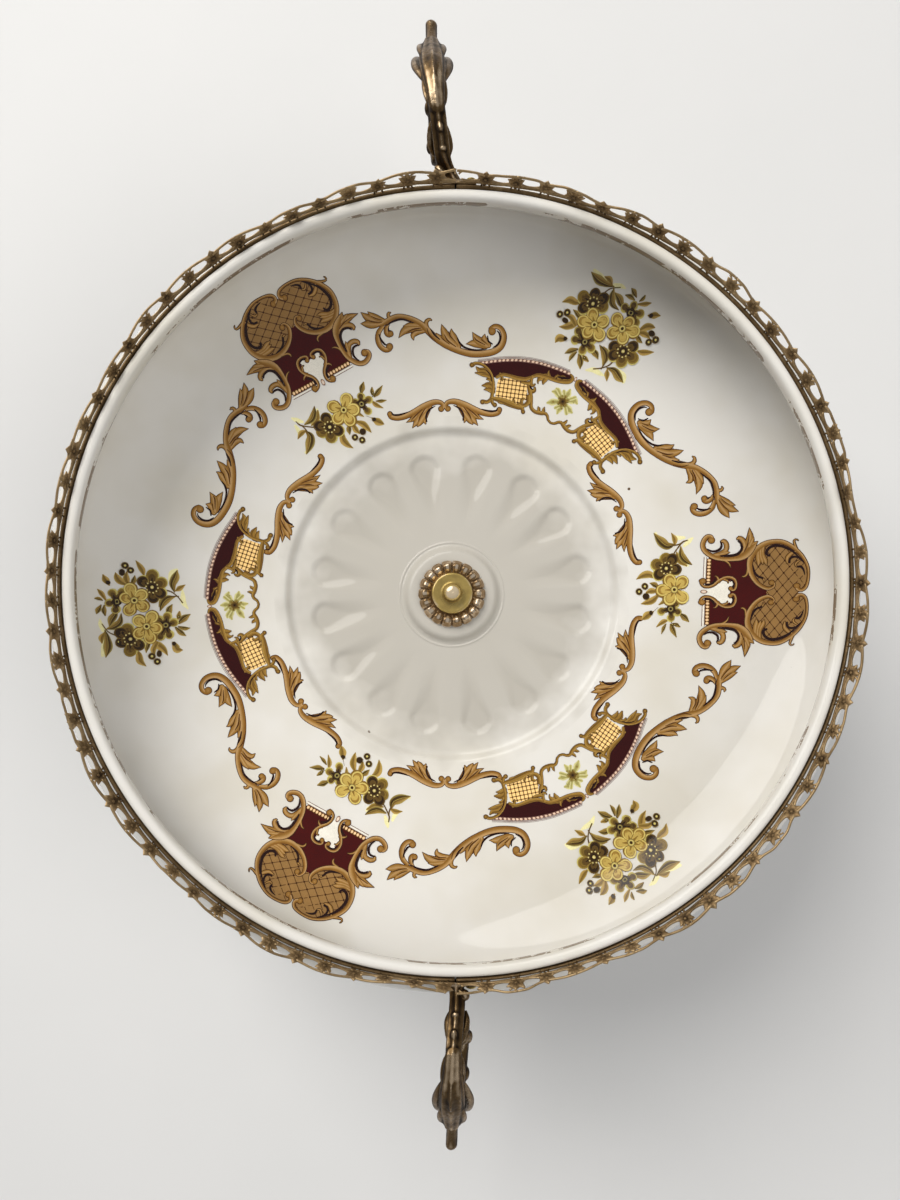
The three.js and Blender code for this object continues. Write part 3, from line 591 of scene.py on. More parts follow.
# The film is drawn flat, in millimetres, with y out from the bowl's middle and x across, then laid on the
# bowl's inner wall. Each new touch of colour lies a little above the last, as paint does.
class Painting:
    def __init__(self):
        self.points, self.faces, self.colours, self.count = [], [], [], 0

    # angle of the drawing's axis on the bowl, how far out it is moved, and its tilt about a point on its axis
    def at(self, angle, rise=0.0, mirror=1, tilt=0.0, pivot=110.0, layer=0):
        self.angle, self.rise, self.mirror = math.radians(angle), rise, mirror
        self.tilt, self.pivot, self.layer = math.radians(tilt), pivot, layer

    def lay(self, flat, faces, colours):
        x, y = turned(self.mirror * flat[:, 0], flat[:, 1] - self.pivot, -self.tilt)
        y = y + self.pivot
        r, a = np.hypot(x, y) + self.rise, self.angle - np.arctan2(x, y)
        z = np.interp(r, floorLine[:, 0], floorLine[:, 1])
        slope = np.interp(r, floorLine[:, 0], floorSlope)
        high = (film["lift"] + film["layer"] * self.layer) / np.hypot(1, slope)
        self.layer += 1
        r, z = r - high * slope, z + high
        self.points.append(np.stack([r * np.cos(a), r * np.sin(a), z], axis=1))
        self.colours.append(np.broadcast_to(colours, (len(flat), 3)))
        self.faces += [[k + self.count for k in f] for f in faces]
        self.count += len(flat)

    # a brush stroke through (x, y, half width), with round ends, whose colours can fade to others at its tip
    def stroke(self, stations, tone, thinner=0.0, ends=True, tip=None):
        s = throughPoints(stations, film["step"], 2)
        middle, width = s[:, :2], np.maximum(s[:, 2] - thinner, film["thinnest"])
        tangent = unit(np.gradient(middle, axis=0))
        if ends:
            cap = np.radians([90, 68, 45, 22])
            head = middle[0] - tangent[0] * width[0] * np.sin(cap)[:, None]
            tail = middle[-1] + tangent[-1] * width[-1] * np.sin(cap[::-1])[:, None]
            middle = np.vstack([head, middle, tail])
            tangent = np.vstack([np.repeat(tangent[:1], 4, 0), tangent, np.repeat(tangent[-1:], 4, 0)])
            width = np.concatenate([width[0] * np.cos(cap), width, width[-1] * np.cos(cap[::-1])])
        # wide strokes get more columns, so that they follow the hollow wall as closely as those above them
        plain = (tone,) * (5 if width.max() > 0.8 else 3)
        colours = np.array([paintColour(c) for c in strokeTones.get(tone, plain)])
        across = np.linspace(-1, 1, len(colours))
        side = np.stack([tangent[:, 1], -tangent[:, 0]], axis=1)
        grid = middle[:, None] + side[:, None] * width[:, None, None] * across[None, :, None]
        colours = np.tile(colours, (len(middle), 1, 1))
        if tip:
            share = np.linspace(0, 1, len(middle))[:, None, None] ** 1.4
            colours += share * (np.array([paintColour(c) for c in strokeTones[tip]]) - colours)
        self.lay(grid.reshape(-1, 2), gridFaces(len(middle), len(across), wrapCols=False),
                 colours.reshape(-1, 3))

    # a round patch in rings, from its rim to its middle
    def blob(self, centre, radii, angle, tones, shares, count=16):
        phi = roundAngles(count)
        ring = np.stack(turned(radii[0] * np.cos(phi), radii[1] * np.sin(phi), math.radians(angle)), axis=1)
        flat = np.vstack([ring * share + np.array(centre) for share in shares] + [np.array([centre])])
        last = (len(shares) - 1) * count
        faces = gridFaces(len(shares), count)
        faces += [[last + k, last + (k + 1) % count, len(flat) - 1] for k in range(count)]
        values = np.array([paintColour(c) for c in tones])
        self.lay(flat, faces, np.vstack([np.repeat(values[:-1], count, 0), values[-1:]]))

    def dot(self, x, y, radius, tones, count=12):
        self.blob((x, y), (radius, radius), 0, tones, np.linspace(1, 0.15, len(tones) - 1), count)

    # an even wash inside a closed line
    def area(self, corners, tone, spacing):
        edge = closedEdge(corners)
        low, high = edge.min(0), edge.max(0)
        gx, gy = np.meshgrid(np.arange(low[0], high[0], spacing), np.arange(low[1], high[1], spacing))
        grid = np.stack([gx.ravel(), gy.ravel()], axis=1)
        near = np.min(np.linalg.norm(grid[:, None] - edge[None], axis=2), axis=1) < spacing * 0.4
        every = np.vstack([edge, grid[insideLine(grid, edge) & ~near]])
        ring = [(k, (k + 1) % len(edge)) for k in range(len(edge))]
        found = delaunay_2d_cdt([Vector(p) for p in every], ring, [], 1, 1e-5)
        self.lay(np.array([tuple(p) for p in found[0]]), [list(f) for f in found[2]], paintColour(tone)[None])
        self.layer += 3

    # two families of thin crossing lines inside a closed line, with a dot at each crossing
    def lattice(self, corners, look):
        edge = closedEdge(corners)
        one, two, origin, count = np.array(look["one"]), np.array(look["two"]), np.array(look["node"]), 18
        for along, other in ((one, two), (two, one)):
            level = self.layer
            for k in range(-count, count + 1):
                track = origin + other * k + along * np.linspace(-count, count, 900)[:, None]
                within = insideLine(track, edge).astype(int)
                turns = np.flatnonzero(np.diff(np.concatenate([[0], within, [0]])))
                for a, b in zip(turns[::2], turns[1::2]):
                    self.layer = level
                    self.stroke([(*track[a], look["width"]), (*track[b - 1], look["width"])], look["tone"],
                                ends=False)
            self.layer = level + 1
        i, j = np.meshgrid(np.arange(-count, count + 1), np.arange(-count, count + 1))
        nodes = origin + i.ravel()[:, None] * one + j.ravel()[:, None] * two
        level = self.layer
        for x, y in nodes[insideLine(nodes, edge)]:
            self.layer = level
            self.dot(x, y, look["dot"], ("vein", "shade", "shade"), 8)

    # dark outlines first, then the colour over them, then the dark lines inside
    def scrollwork(self, look, tone="gold", leafTone="leaf", outline=film["outline"]):
        wide = look.get("widen", 1.0)
        stems, leaves = ([[(x, y, half * wide) for x, y, half in stations] for stations in look[key]]
                         for key in ("stems", "leaves"))
        balls = look["balls"]
        for stations in (*stems, *leaves):
            self.stroke(stations, "outline")
        for x, y, radius in balls:
            self.dot(x, y, radius, ("outline", "outline", "outline"))
        for stations in leaves:
            self.stroke(stations, leafTone, outline)
        for stations in stems:
            self.stroke(stations, tone, outline)
        for x, y, radius in balls:
            self.dot(x, y, radius - outline, (strokeTones[tone][-2], strokeTones[tone][2],
                                              strokeTones[tone][1]))
        for stations in look.get("shades", ()):
            self.stroke(stations, "shade")
        for stations in look.get("veins", ()):
            self.stroke(stations, "vein")

    def piece(self, name, material):
        points = np.vstack(self.points)
        first = np.array([f[:3] for f in self.faces])
        a, b, c = (points[first[:, k]] for k in range(3))
        down = np.cross(b - a, c - a)[:, 2] < 0
        faces = [f[::-1] if flip else f for f, flip in zip(self.faces, down)]
        mesh = makeMesh(name, points, faces)
        addPiece(name, mesh, material, "porcelain")
        layer = mesh.color_attributes.new("paint", "FLOAT_COLOR", "POINT")
        values = np.hstack([np.vstack(self.colours), np.ones((len(points), 1))])
        layer.data.foreach_set("color", values.ravel().astype(np.float32))
        print(name, "painted", len(faces))


# fired colours in the glaze: the film's own colours with a fine printed grain, and the glaze's gloss
def enamelMaterial():
    material, tree, shader = newMaterial("fired enamel")
    place = tree.nodes.new("ShaderNodeTexCoord").outputs["Object"]
    paint = node(tree, "ShaderNodeAttribute", attribute_name="paint")
    grain = mapRange(tree, noiseNode(tree, place, 2600.0, 2.0), 0.3, 0.7, 0.9, 1.1)
    cloud = mapRange(tree, noiseNode(tree, place, 160.0, 2.0), 0.3, 0.7, 0.93, 1.07)
    tone = mathNode(tree, "MULTIPLY", grain, cloud)
    grey = node(tree, "ShaderNodeCombineColor")
    for k in range(3):
        tree.links.new(tone, grey.inputs[k])
    colour = mixColour(tree, 1.0, paint.outputs["Color"], grey.outputs[0], "MULTIPLY")
    tree.links.new(colour, shader.inputs["Base Color"])
    bump = node(tree, "ShaderNodeBump", {"Strength": 0.08, "Distance": 0.0002})
    tree.links.new(noiseNode(tree, place, 900.0, 2.0), bump.inputs["Height"])
    tree.links.new(bump.outputs["Normal"], shader.inputs["Normal"])
    shader.inputs["Roughness"].default_value = 0.06
    shader.inputs["IOR"].default_value = 1.5
    return material


enamel = enamelMaterial()

# half of a cartouche: a latticed lobe over a dark red ground, a small heart, a row of pearls and an
# acanthus wing
cartouche = {
    "lattice": [(0, 127.6), (0.9, 128.6), (2.2, 129.6), (5.5, 130.1), (9.5, 129.7), (13.5, 127.9),
                (16.7, 125.2), (18.5, 122.2), (18.8, 119.2), (17.7, 116.0), (15.2, 113.4), (11.6, 112.0),
                (7.1, 112.4), (3.9, 114.2), (2.0, 116.7), (1.5, 118.4), (0, 117.6)],
    "mesh": {"node": (-5.0, 124.55), "one": (2.3, 1.6), "two": (2.3, -1.73), "width": 0.14, "dot": 0.36,
             "tone": "latticeLine"},
    "ground": [(0, 118.9), (1.7, 116.5), (3.8, 114.0), (7.5, 111.5), (12.0, 111.4), (15.0, 112.5),
               (13.2, 110.0), (12.0, 106.0), (12.1, 101.0), (13.2, 97.4), (7.5, 97.4), (2.5, 97.2),
               (0, 97.0)],
    "window": [(0, 105.4), (1.3, 104.9), (2.3, 105.6), (4.0, 105.1), (4.6, 103.4), (3.4, 101.2), (1.8, 99.0),
               (1.1, 96.7), (0, 95.0)],
    "curlWindow": [(2.3, 106.9), (4.1, 106.2), (3.7, 105.0), (2.0, 105.3)],
    "pearls": 8, "pearlFrom": 2.6, "pearlTo": 12.6, "pearlHeight": 97.5,
    "frame": {
        "stems": [[(2.5, 127.2, .85), (1.2, 127.6, .8), (0.9, 128.7, .7), (2.2, 129.8, .6), (5.5, 130.3, .5),
                   (9.5, 129.9, .55), (13.5, 128.1, .65), (16.8, 125.2, .8), (18.7, 122.1, .9),
                   (18.9, 119.0, 1.0), (17.9, 115.9, 1.1), (15.2, 113.1, 1.2), (11.5, 111.7, 1.15),
                   (7.5, 112.2, 1.05), (4.3, 113.9, .9), (2.3, 116.1, .85), (1.5, 118.3, .75),
                   (2.2, 119.9, .55), (3.2, 120.2, .5), (4.0, 119.3, .8)]],
        "balls": [(2.5, 127.1, 1.15), (3.7, 119.3, 1.15)],
        "leaves": [[(17.3, 116.0, .6), (14.3, 115.7, 1.0), (11.8, 116.9, .9), (10.0, 117.3, .15)],
                   [(16.9, 115.2, .6), (13.8, 115.1, 1.0), (12.0, 115.8, .8), (10.6, 116.1, .3)],
                   [(16.2, 114.3, .6), (13.2, 114.4, 1.0), (11.2, 114.7, .85), (10.0, 114.5, .2)],
                   [(15.2, 126.5, .4), (14.5, 125.0, .8), (12.8, 123.8, .8), (10.9, 123.9, .4)],
                   [(12.2, 128.2, .3), (11.3, 126.9, .5), (10.4, 126.4, .5), (9.5, 126.8, .3)],
                   [(6.0, 115.4, .3), (4.9, 116.7, .5), (3.9, 116.7, .3)],
                   [(16.0, 126.4, .55), (17.7, 125.8, .5), (19.1, 125.5, .45), (19.6, 126.1, .4),
                    (19.1, 126.7, .25)],
                   [(8.8, 111.1, .5), (6.9, 110.9, .55), (6.0, 110.1, .5), (6.0, 109.4, .35)]],
        "shades": [[(12.3, 127.9, .15), (15.3, 125.2, .35), (17.0, 122.4, .5), (17.5, 119.9, .5),
                    (16.8, 118.0, .5), (15.3, 117.1, .5), (14.2, 117.3, .42), (13.7, 118.1, .35)],
                   [(11.0, 128.8, .2), (12.8, 127.3, .35), (13.2, 125.6, .42), (12.4, 124.6, .4),
                    (11.1, 124.6, .28)],
                   [(6.5, 129.3, .12), (8.4, 128.8, .3), (9.5, 128.0, .42), (9.5, 127.3, .4)],
                   [(5.3, 116.3, .25), (6.0, 114.8, .4), (7.6, 113.5, .38), (10.3, 112.7, .2)]],
    },
    "heart": {
        "stems": [[(1.3, 105.5, .75), (0.8, 106.5, .6), (1.7, 107.2, .55), (3.4, 107.3, .6),
                   (5.0, 106.5, .65), (5.6, 104.9, .65), (5.4, 103.2, .65), (4.2, 101.2, .7),
                   (2.7, 99.6, .65), (1.9, 97.8, .6), (2.0, 96.1, .6), (2.8, 95.1, .6), (4.1, 94.8, .8)]],
        "balls": [(1.4, 105.5, .95), (4.0, 95.5, 1.3)],
        "leaves": [[(3.9, 101.3, .6), (5.2, 100.9, .55), (6.0, 100.2, .35), (6.0, 99.7, .2)],
                   [(4.7, 103.1, .5), (4.3, 104.4, .5), (3.5, 104.5, .3)]],
        "shades": [[(2.0, 106.2, .3), (2.9, 106.6, .35), (4.1, 106.2, .32), (4.8, 105.2, .15)],
                   [(5.0, 99.9, .2), (3.8, 99.4, .35), (2.9, 98.3, .42), (2.8, 96.7, .4)]],
    },
    "wing": {
        "stems": [[(19.6, 98.0, 1.1), (20.9, 97.8, .8), (21.0, 96.5, .9), (19.7, 95.4, 1.0),
                   (17.6, 94.9, 1.0), (15.5, 95.8, 1.0), (13.8, 98.0, 1.0), (12.8, 100.5, .95),
                   (12.5, 103.4, .9), (12.6, 106.1, 1.0), (13.2, 108.6, 1.3), (14.7, 110.6, 1.5),
                   (16.9, 112.4, 1.1), (19.0, 113.9, .2)]],
        "balls": [(19.6, 97.9, 1.4)],
        "leaves": [[(14.3, 109.6, 1.2), (17.8, 110.8, 1.5), (20.8, 111.3, 1.3), (24.3, 110.9, .15)],
                   [(15.5, 110.7, 1.1), (17.9, 112.5, 1.1), (19.1, 113.9, .25)],
                   [(17.5, 111.3, 1.0), (19.7, 112.2, .75), (20.7, 112.6, .15)],
                   [(14.3, 108.9, 1.1), (17.3, 109.6, 1.1), (19.7, 108.8, 1.0), (20.5, 107.6, .85),
                    (20.2, 107.1, .6)],
                   [(13.9, 99.1, .8), (14.5, 101.6, 1.1), (16.0, 103.2, 1.0), (18.0, 103.3, 1.0),
                    (19.3, 102.4, .9), (19.2, 101.7, .65)],
                   [(14.4, 101.4, .9), (14.9, 103.5, .8), (15.1, 104.7, .15)],
                   [(12.5, 101.3, .6), (11.8, 103.4, .55), (10.6, 104.7, .45), (9.4, 105.1, .25)]],
        "shades": [[(19.3, 107.4, .3), (18.3, 108.4, .42), (16.2, 108.7, .48), (14.4, 107.2, .5),
                    (13.8, 104.5, .45), (13.8, 101.5, .2)],
                   [(19.0, 101.2, .25), (18.0, 101.6, .38), (16.5, 101.3, .45), (15.5, 99.7, .45),
                    (15.5, 98.1, .35), (16.3, 96.5, .2)]],
        "veins": [[(21.5, 111.0, .1), (17.9, 110.6, .2), (15.4, 109.6, .15)]],
    },
}


def bothSides(half):
    return list(half) + [(-x, y) for x, y in half[::-1] if x]


def paintCartouche(paint, angle, rise, tilt):
    look = cartouche
    paint.at(angle, rise, 1, tilt)
    paint.area(bothSides(look["ground"]), "maroon", 1.5)
    paint.area(bothSides(look["lattice"]), "lattice", 1.5)
    paint.lattice(bothSides(look["lattice"]), look["mesh"])
    paint.area(bothSides(look["window"]), "white", 1.6)
    middle = paint.layer
    start, end, height = look["pearlFrom"], look["pearlTo"], look["pearlHeight"]
    for mirror in (1, -1):
        paint.at(angle, rise, mirror, tilt, layer=middle)
        paint.area(look["curlWindow"], "white", 1.2)
        # a row of pearls on a brown band, over two thin rules
        for drop, width, tone in ((0, 0.85, "vein"), (1.4, 0.42, "white"), (0.97, 0.1, "rule"),
                                  (1.87, 0.12, "rule")):
            over = 0.6 if drop else 0
            paint.stroke([(start - over, height - drop, width), (end + over, height - drop, width)], tone,
                         ends=False)
        for k in range(look["pearls"]):
            x = start + (end - start) * (k + 0.5) / look["pearls"]
            paint.blob((x, height), (0.54, 0.66), 0, ("goldDeep", "pearl", "pearl", "white"), (1, 0.8, 0.4),
                       10)
        for part in ("frame", "heart", "wing"):
            paint.scrollwork(look[part])
    paint.at(angle, rise, 1, tilt, layer=paint.layer)
    paint.blob((0, 96.0), (0.72, 1.3), 0, ("rule", "rule", "bead", "white"), (1, 0.75, 0.7), 14)


# long leafy scroll, drawn to the right of a cartouche
longScroll = {
    "stems": [
        [(26, 101.9, .5), (28, 101.5, .9), (31, 101.5, 1.05), (34.5, 100.8, 1.05), (38, 98.2, 1.0),
         (40.6, 94.7, 1.1), (41.8, 91.2, 1.3), (43.2, 87.2, 1.3), (45.6, 82.8, 1.25), (49.3, 78.2, 1.25),
         (53.2, 74.9, 1.3), (58.4, 72.4, 1.3), (62, 71.9, 1.25), (64.4, 72.9, 1.2), (66.1, 75.1, 1.1),
         (66.2, 77.8, 1.0), (64.8, 79.5, .95), (62.9, 79.6, .9), (62.4, 78.7, .9)],
        [(27.5, 100.6, .8), (25.3, 99.7, 1.0), (23.7, 97.7, 1.05), (23.3, 95.4, 1.05), (24.1, 93.3, 1.0),
         (25.6, 92.5, .9), (26.7, 93.0, .9)],
        [(30, 100.5, .6), (28.4, 99.4, .85), (27.7, 98, .95), (28.2, 96.9, .9), (29.2, 96.8, .8)],
    ],
    "balls": [(62.9, 78.6, 1.5), (26.3, 93.3, 1.4), (28.9, 97.1, 1.25)],
    "leaves": [
        [(28.5, 101.9, .9), (25, 103.0, 1.5), (22.8, 104.3, 1.3), (20.8, 105.5, .15)],
        [(28.5, 102.2, .9), (25.8, 104.2, 1.4), (24.0, 106.4, 1.3), (22.9, 108.7, .2)],
        [(29, 102.3, .8), (27.2, 104.3, 1.2), (26, 106.0, 1.0), (25.3, 107.7, .2)],
        [(31.4, 101.8, .8), (31.4, 103, .75), (32, 103.6, .6), (32.6, 103.4, .35)],
        [(40.6, 92.8, 1.0), (37.5, 94.8, 1.6), (34, 95.4, 1.4), (30.9, 94.3, .15)],
        [(39.8, 94.4, .8), (37, 96.1, 1.0), (34.6, 97.0, .25)],
        [(40.5, 91.7, .8), (37.8, 92.8, 1.3), (36, 92.3, 1.0), (35.5, 91, .3)],
        [(42.0, 90.5, .9), (42.2, 92.9, .9), (43, 94.1, .85), (44.4, 94.2, .6), (44.9, 93.6, .35)],
        [(47.2, 81.5, 1.3), (45.2, 84.8, 1.5), (44.4, 87.1, 1.0), (44.2, 88.8, .15)],
        [(49.2, 80.7, 1.3), (49.2, 84, 1.4), (49.4, 86.0, .9), (49.9, 87.0, .3)],
        [(48.3, 81.2, 1.4), (47, 85.3, 1.7), (47.1, 88.2, 1.2), (47.5, 90.4, .15)],
        [(58, 75.3, 1.1), (55, 78.3, 1.4), (52.2, 79.7, .15)],
        [(59.3, 75.0, 1.1), (59, 77.7, 1.3), (59.9, 79.0, .3)],
        [(58.5, 75.3, 1.2), (56.6, 78.8, 1.6), (56.3, 82.1, .15)],
    ],
    "shades": [
        [(25.0, 99.0, .2), (24.7, 97, .38), (25.1, 95, .38), (25.7, 94.3, .2)],
        [(29.3, 99.3, .2), (28.9, 98.4, .32), (29.4, 97.9, .2)],
        [(29.2, 100.3, .2), (32, 100.3, .38), (35.3, 99.3, .38), (38.3, 96.3, .2)],
        [(43.0, 91, .15), (43.3, 88.7, .35), (44.2, 86.2, .2)],
        [(50.3, 83.2, .15), (50.3, 80.9, .38), (51.4, 78.5, .36), (54.2, 76, .3), (58, 74.2, .15)],
        [(60.4, 73.4, .15), (62.7, 73.5, .38), (64.3, 74.8, .4), (64.9, 76.6, .3), (64.6, 77.8, .15)],
        [(60.6, 78.0, .2), (60.0, 76.3, .35), (60.8, 74.6, .2)],
    ],
    "veins": [
        [(28, 102.1, .12), (25.3, 103.8, .22), (23.6, 105.4, .12)],
        [(28.5, 102.8, .1), (26.9, 104.2, .2), (25.6, 105.8, .1)],
        [(40, 93.2, .15), (37.3, 94.2, .25), (34.5, 94.5, .1)],
        [(39.8, 92.3, .1), (37.5, 93.4, .22), (36, 93.2, .1)],
        [(48.3, 80.8, .15), (46.7, 84.2, .28), (46.6, 86.7, .12)],
        [(46.6, 82.7, .1), (45.4, 85.4, .2), (45.1, 86.6, .1)],
        [(49, 82.5, .1), (48.3, 85.2, .22), (48.6, 86.9, .1)],
        [(58.2, 75.8, .12), (56.3, 78.8, .25), (56.0, 80.2, .1)], [(58.9, 75.9, .1), (58.0, 78.0, .2)],
        [(42, 92, .1), (41.6, 89.5, .2), (42.6, 86.5, .1)],
    ],
}

# one half of a small bracket under the floor's edge, drawn from the joint of a pair
bracket = {
    "stems": [[(0.9, 71.6, .9), (0.5, 72.8, .9), (1.6, 73.9, .95), (4.2, 74.0, 1.15), (7.8, 72.6, 1.35),
               (11.8, 70.6, 1.25), (15.2, 69.2, 1.1), (18.2, 68.6, 1.0), (20.6, 69.1, 1.0),
               (21.3, 70.2, .9)]],
    "balls": [(1.3, 71.5, 1.2), (21.1, 70.2, 1.15)],
    "leaves": [[(6.6, 72.9, .9), (10.4, 69.6, 1.4), (12.6, 68.0, 1.0), (14.9, 66.9, .15)],
               [(5.4, 72.8, .8), (7.4, 69.4, 1.1), (7.9, 67.4, .8), (7.5, 66.2, .35)],
               [(6.0, 73.0, .9), (9.0, 69.2, 1.6), (11, 66.9, 1.2), (12.6, 64.8, .2)],
               [(6.4, 71, .8), (8.8, 68.0, 1.3), (9.8, 66.4, 1.0), (10.6, 65.4, .4)]],
    "shades": [[(3.6, 72.6, .15), (6.0, 71.2, .38), (7.2, 68.9, .38), (7.0, 67.0, .25)],
               [(13.5, 70.9, .12), (17.6, 69.9, .32), (19.8, 69.9, .36), (20.4, 70.8, .2)]],
    "veins": [[(7.4, 71.9, .12), (9.4, 69.0, .3), (10.2, 67.2, .15)],
              [(8.6, 71.6, .12), (11.4, 69.2, .25), (13, 67.6, .1)]],
}

# left half of a long panel: a beaded band over a dark ground, a latticed patch and thin bronze scrolls
panel = {
    "ground": [(-1.8, 94.5), (-1.2, 92.9), (-3.2, 91.4), (-6, 90.5), (-10, 89.8), (-13.2, 88.8), (-15, 87),
               (-16.6, 85.3), (-19.6, 84), (-22.6, 83.3), (-25.2, 82.4), (-26.6, 80.8), (-27.2, 79.8),
               (-29, 80.6), (-31.5, 81.6), (-35.6, 81.0), (-33, 83.1), (-28, 86.8), (-22, 90.2), (-15, 92.9),
               (-8, 94.5), (-3, 95.1)],
    "beadLine": [(-35.6, 81.3), (-33, 83.1), (-28, 86.7), (-22, 90.1), (-15, 92.8), (-8, 94.3), (-2.8, 95.0)],
    "beads": 23,
    "patch": [(-25.4, 81), (-22, 82.6), (-17.4, 84.4), (-15.6, 84.9), (-13.8, 81.5), (-12, 79.3), (-13.4, 78),
              (-14.2, 75.6), (-19.5, 75.2), (-22.8, 73.4), (-24.7, 77), (-25.6, 79.6)],
    "mesh": {"node": (-19.5, 79.5), "one": (1.42, 0.57), "two": (-0.57, 1.42), "width": 0.2, "dot": 0.34,
             "tone": "patchLine"},
    "scrolls": {
        "widen": 1.3,
        "stems": [
            [(-2.4, 94.8, .35), (-1.3, 94.2, .55), (-1.5, 92.7, .7), (-3.4, 91.5, .7), (-6, 90.5, .6),
             (-10, 89.8, .65), (-13.2, 88.8, .6), (-15, 87.0, .55), (-16.6, 85.3, .6), (-19.6, 84.0, .65),
             (-22.6, 83.3, .55), (-25.2, 82.4, .55), (-26.6, 80.6, .5)],
            [(-37.0, 79.6, .6), (-36.2, 80.9, .5), (-33.6, 81.7, .45), (-30.6, 81.2, .45), (-28.2, 79.6, .5),
             (-26.4, 77.4, .55), (-25.3, 75.0, .5), (-24.5, 72.6, .55), (-25.2, 70.8, .55),
             (-26.6, 70.2, .6)],
            [(-24.4, 72.6, .5), (-23.2, 71.5, .5), (-22.2, 71.2, .5)],
            [(-24.2, 73.0, .5), (-21, 73.9, .8), (-17.5, 74.5, .95), (-14.2, 74.9, .7), (-12.4, 75.4, .6),
             (-11.6, 74.6, .5)],
            [(-15.0, 87.2, .5), (-14.4, 85.6, .5), (-13.8, 84.9, .45)],
            [(-14.8, 84.4, .5), (-13.6, 82.9, .6), (-12.2, 82.5, .6), (-11.5, 83.4, .5), (-12.0, 84.2, .35)],
            [(-13.4, 82.6, .6), (-11.8, 81.0, .6), (-10.6, 79.2, .55), (-9.4, 77.3, .55), (-7.4, 76.7, .55),
             (-5.2, 77.3, .6), (-3.6, 78.0, .5), (-2.4, 77.6, .45), (-1.4, 76.5, .4), (0, 76.0, .35)],
            [(-12.4, 80.4, .6), (-11.4, 78.4, .7), (-12.2, 76.6, .6), (-14.2, 76.2, .4)],
            [(-14.6, 84.9, .5), (-15.6, 84.2, .5), (-17.4, 83.6, .35)],
        ],
        "balls": [(-37.2, 79.6, .95), (-26.8, 69.9, .95), (-22.1, 71.3, .9), (-11.3, 74.4, .85)],
        "leaves": [
            [(-10.5, 90.2, .6), (-11.8, 88.6, .9), (-12.2, 87.0, .4), (-11.7, 86.2, .2)],
            [(-9.5, 90.0, .5), (-10.2, 88.4, .8), (-10.0, 87.0, .3)],
            [(-9.3, 90.6, .5), (-10.2, 91.4, .4), (-10.4, 92.2, .2)],
            [(-5.4, 91.4, .6), (-6.6, 92.2, .5), (-7.2, 91.2, .3)],
            [(-3.4, 92.6, .6), (-4.6, 92.8, .5), (-5.6, 92.4, .3)],
            [(-29, 79.8, .7), (-31.6, 80.2, .9), (-33.6, 79.4, .8), (-35.4, 79.8, .2)],
            [(-29.6, 79.4, .6), (-32, 78.9, .8), (-34.6, 77.8, .2)],
            [(-28.8, 79.3, .5), (-30.8, 79, .6), (-32.4, 78.2, .2)],
            [(-26.4, 77.6, .5), (-28.4, 78.4, .5), (-29.6, 78.0, .25)],
            [(-25.8, 76.2, .8), (-27.8, 76.4, 1.0), (-29.9, 75.1, .25)],
            [(-25.2, 75.2, .7), (-27, 75.2, .8), (-28.5, 74.2, .2)],
            [(-19, 74.2, .6), (-20.4, 73.4, .6), (-21.2, 72.9, .3)],
            [(-6.0, 77.4, .5), (-6.8, 78.5, .45), (-7.2, 78.8, .2)],
            [(-4.4, 78, .5), (-4.9, 79.0, .45), (-5.0, 79.8, .2)],
            [(-17, 74.6, .5), (-16.4, 75.9, .5), (-17.0, 76.6, .25)],
            [(-13.6, 78.8, .3), (-14.0, 77.8, .5), (-13.2, 76.8, .4)],
            [(-14, 84, .4), (-12.9, 84.6, .4), (-12.6, 85.4, .25)],
            [(-26.2, 82.2, .4), (-24.6, 81.2, .4), (-24.2, 80.4, .2)],
        ],
        "shades": [[(-2.6, 93.2, .35), (-4.4, 92.5, .42), (-6.4, 91.8, .2)],
                   [(-13.9, 83.9, .3), (-13.0, 83.3, .32), (-12.3, 83.4, .2)],
                   [(-31.4, 80.6, .12), (-29.2, 79.9, .22), (-27.6, 78.2, .12)]],
    },
    "flower": (0, 85.0), "ring": (0, 94.3),
    "flowerLeaves": [[(-1.4, 85.8, .7), (-3.6, 86.9, 1.15), (-5.2, 86.4, .4)],
                     [(-1.8, 86.6, .5), (-3.7, 87.9, .6), (-4.6, 88.0, .3)],
                     [(-1.4, 84.2, .7), (-3.5, 82.9, 1.0), (-4.8, 81.9, .4)],
                     [(0, 86.4, .9), (0.3, 88.4, 1.0), (0.2, 89.9, .4)],
                     [(-0.5, 87.2, .5), (-1.5, 88.4, .55)],
                     [(0, 83.6, .9), (0.2, 82.0, .95), (0.4, 80.3, .35)],
                     [(-0.3, 83.0, .5), (-1.2, 81.8, .55)],
                     [(1.4, 86.0, .7), (3.6, 87.4, 1.1), (5.0, 87.0, .4)],
                     [(1.6, 86.8, .5), (3.2, 88.5, .55)],
                     [(1.4, 84.4, .7), (3.7, 83.5, 1.05), (5.0, 83.2, .4)],
                     [(1.8, 83.8, .5), (3.4, 82.0, .6)]],
    "flowerSpots": [(-1.5, 85.6, .8), (-1.1, 83.9, .75), (0.3, 83.4, .75), (1.5, 84.3, .8), (1.3, 86.2, .8),
                    (0, 87.0, .75), (-3.2, 83.2, .55), (-1.2, 86.6, .5), (0.9, 82.6, .45)],
}


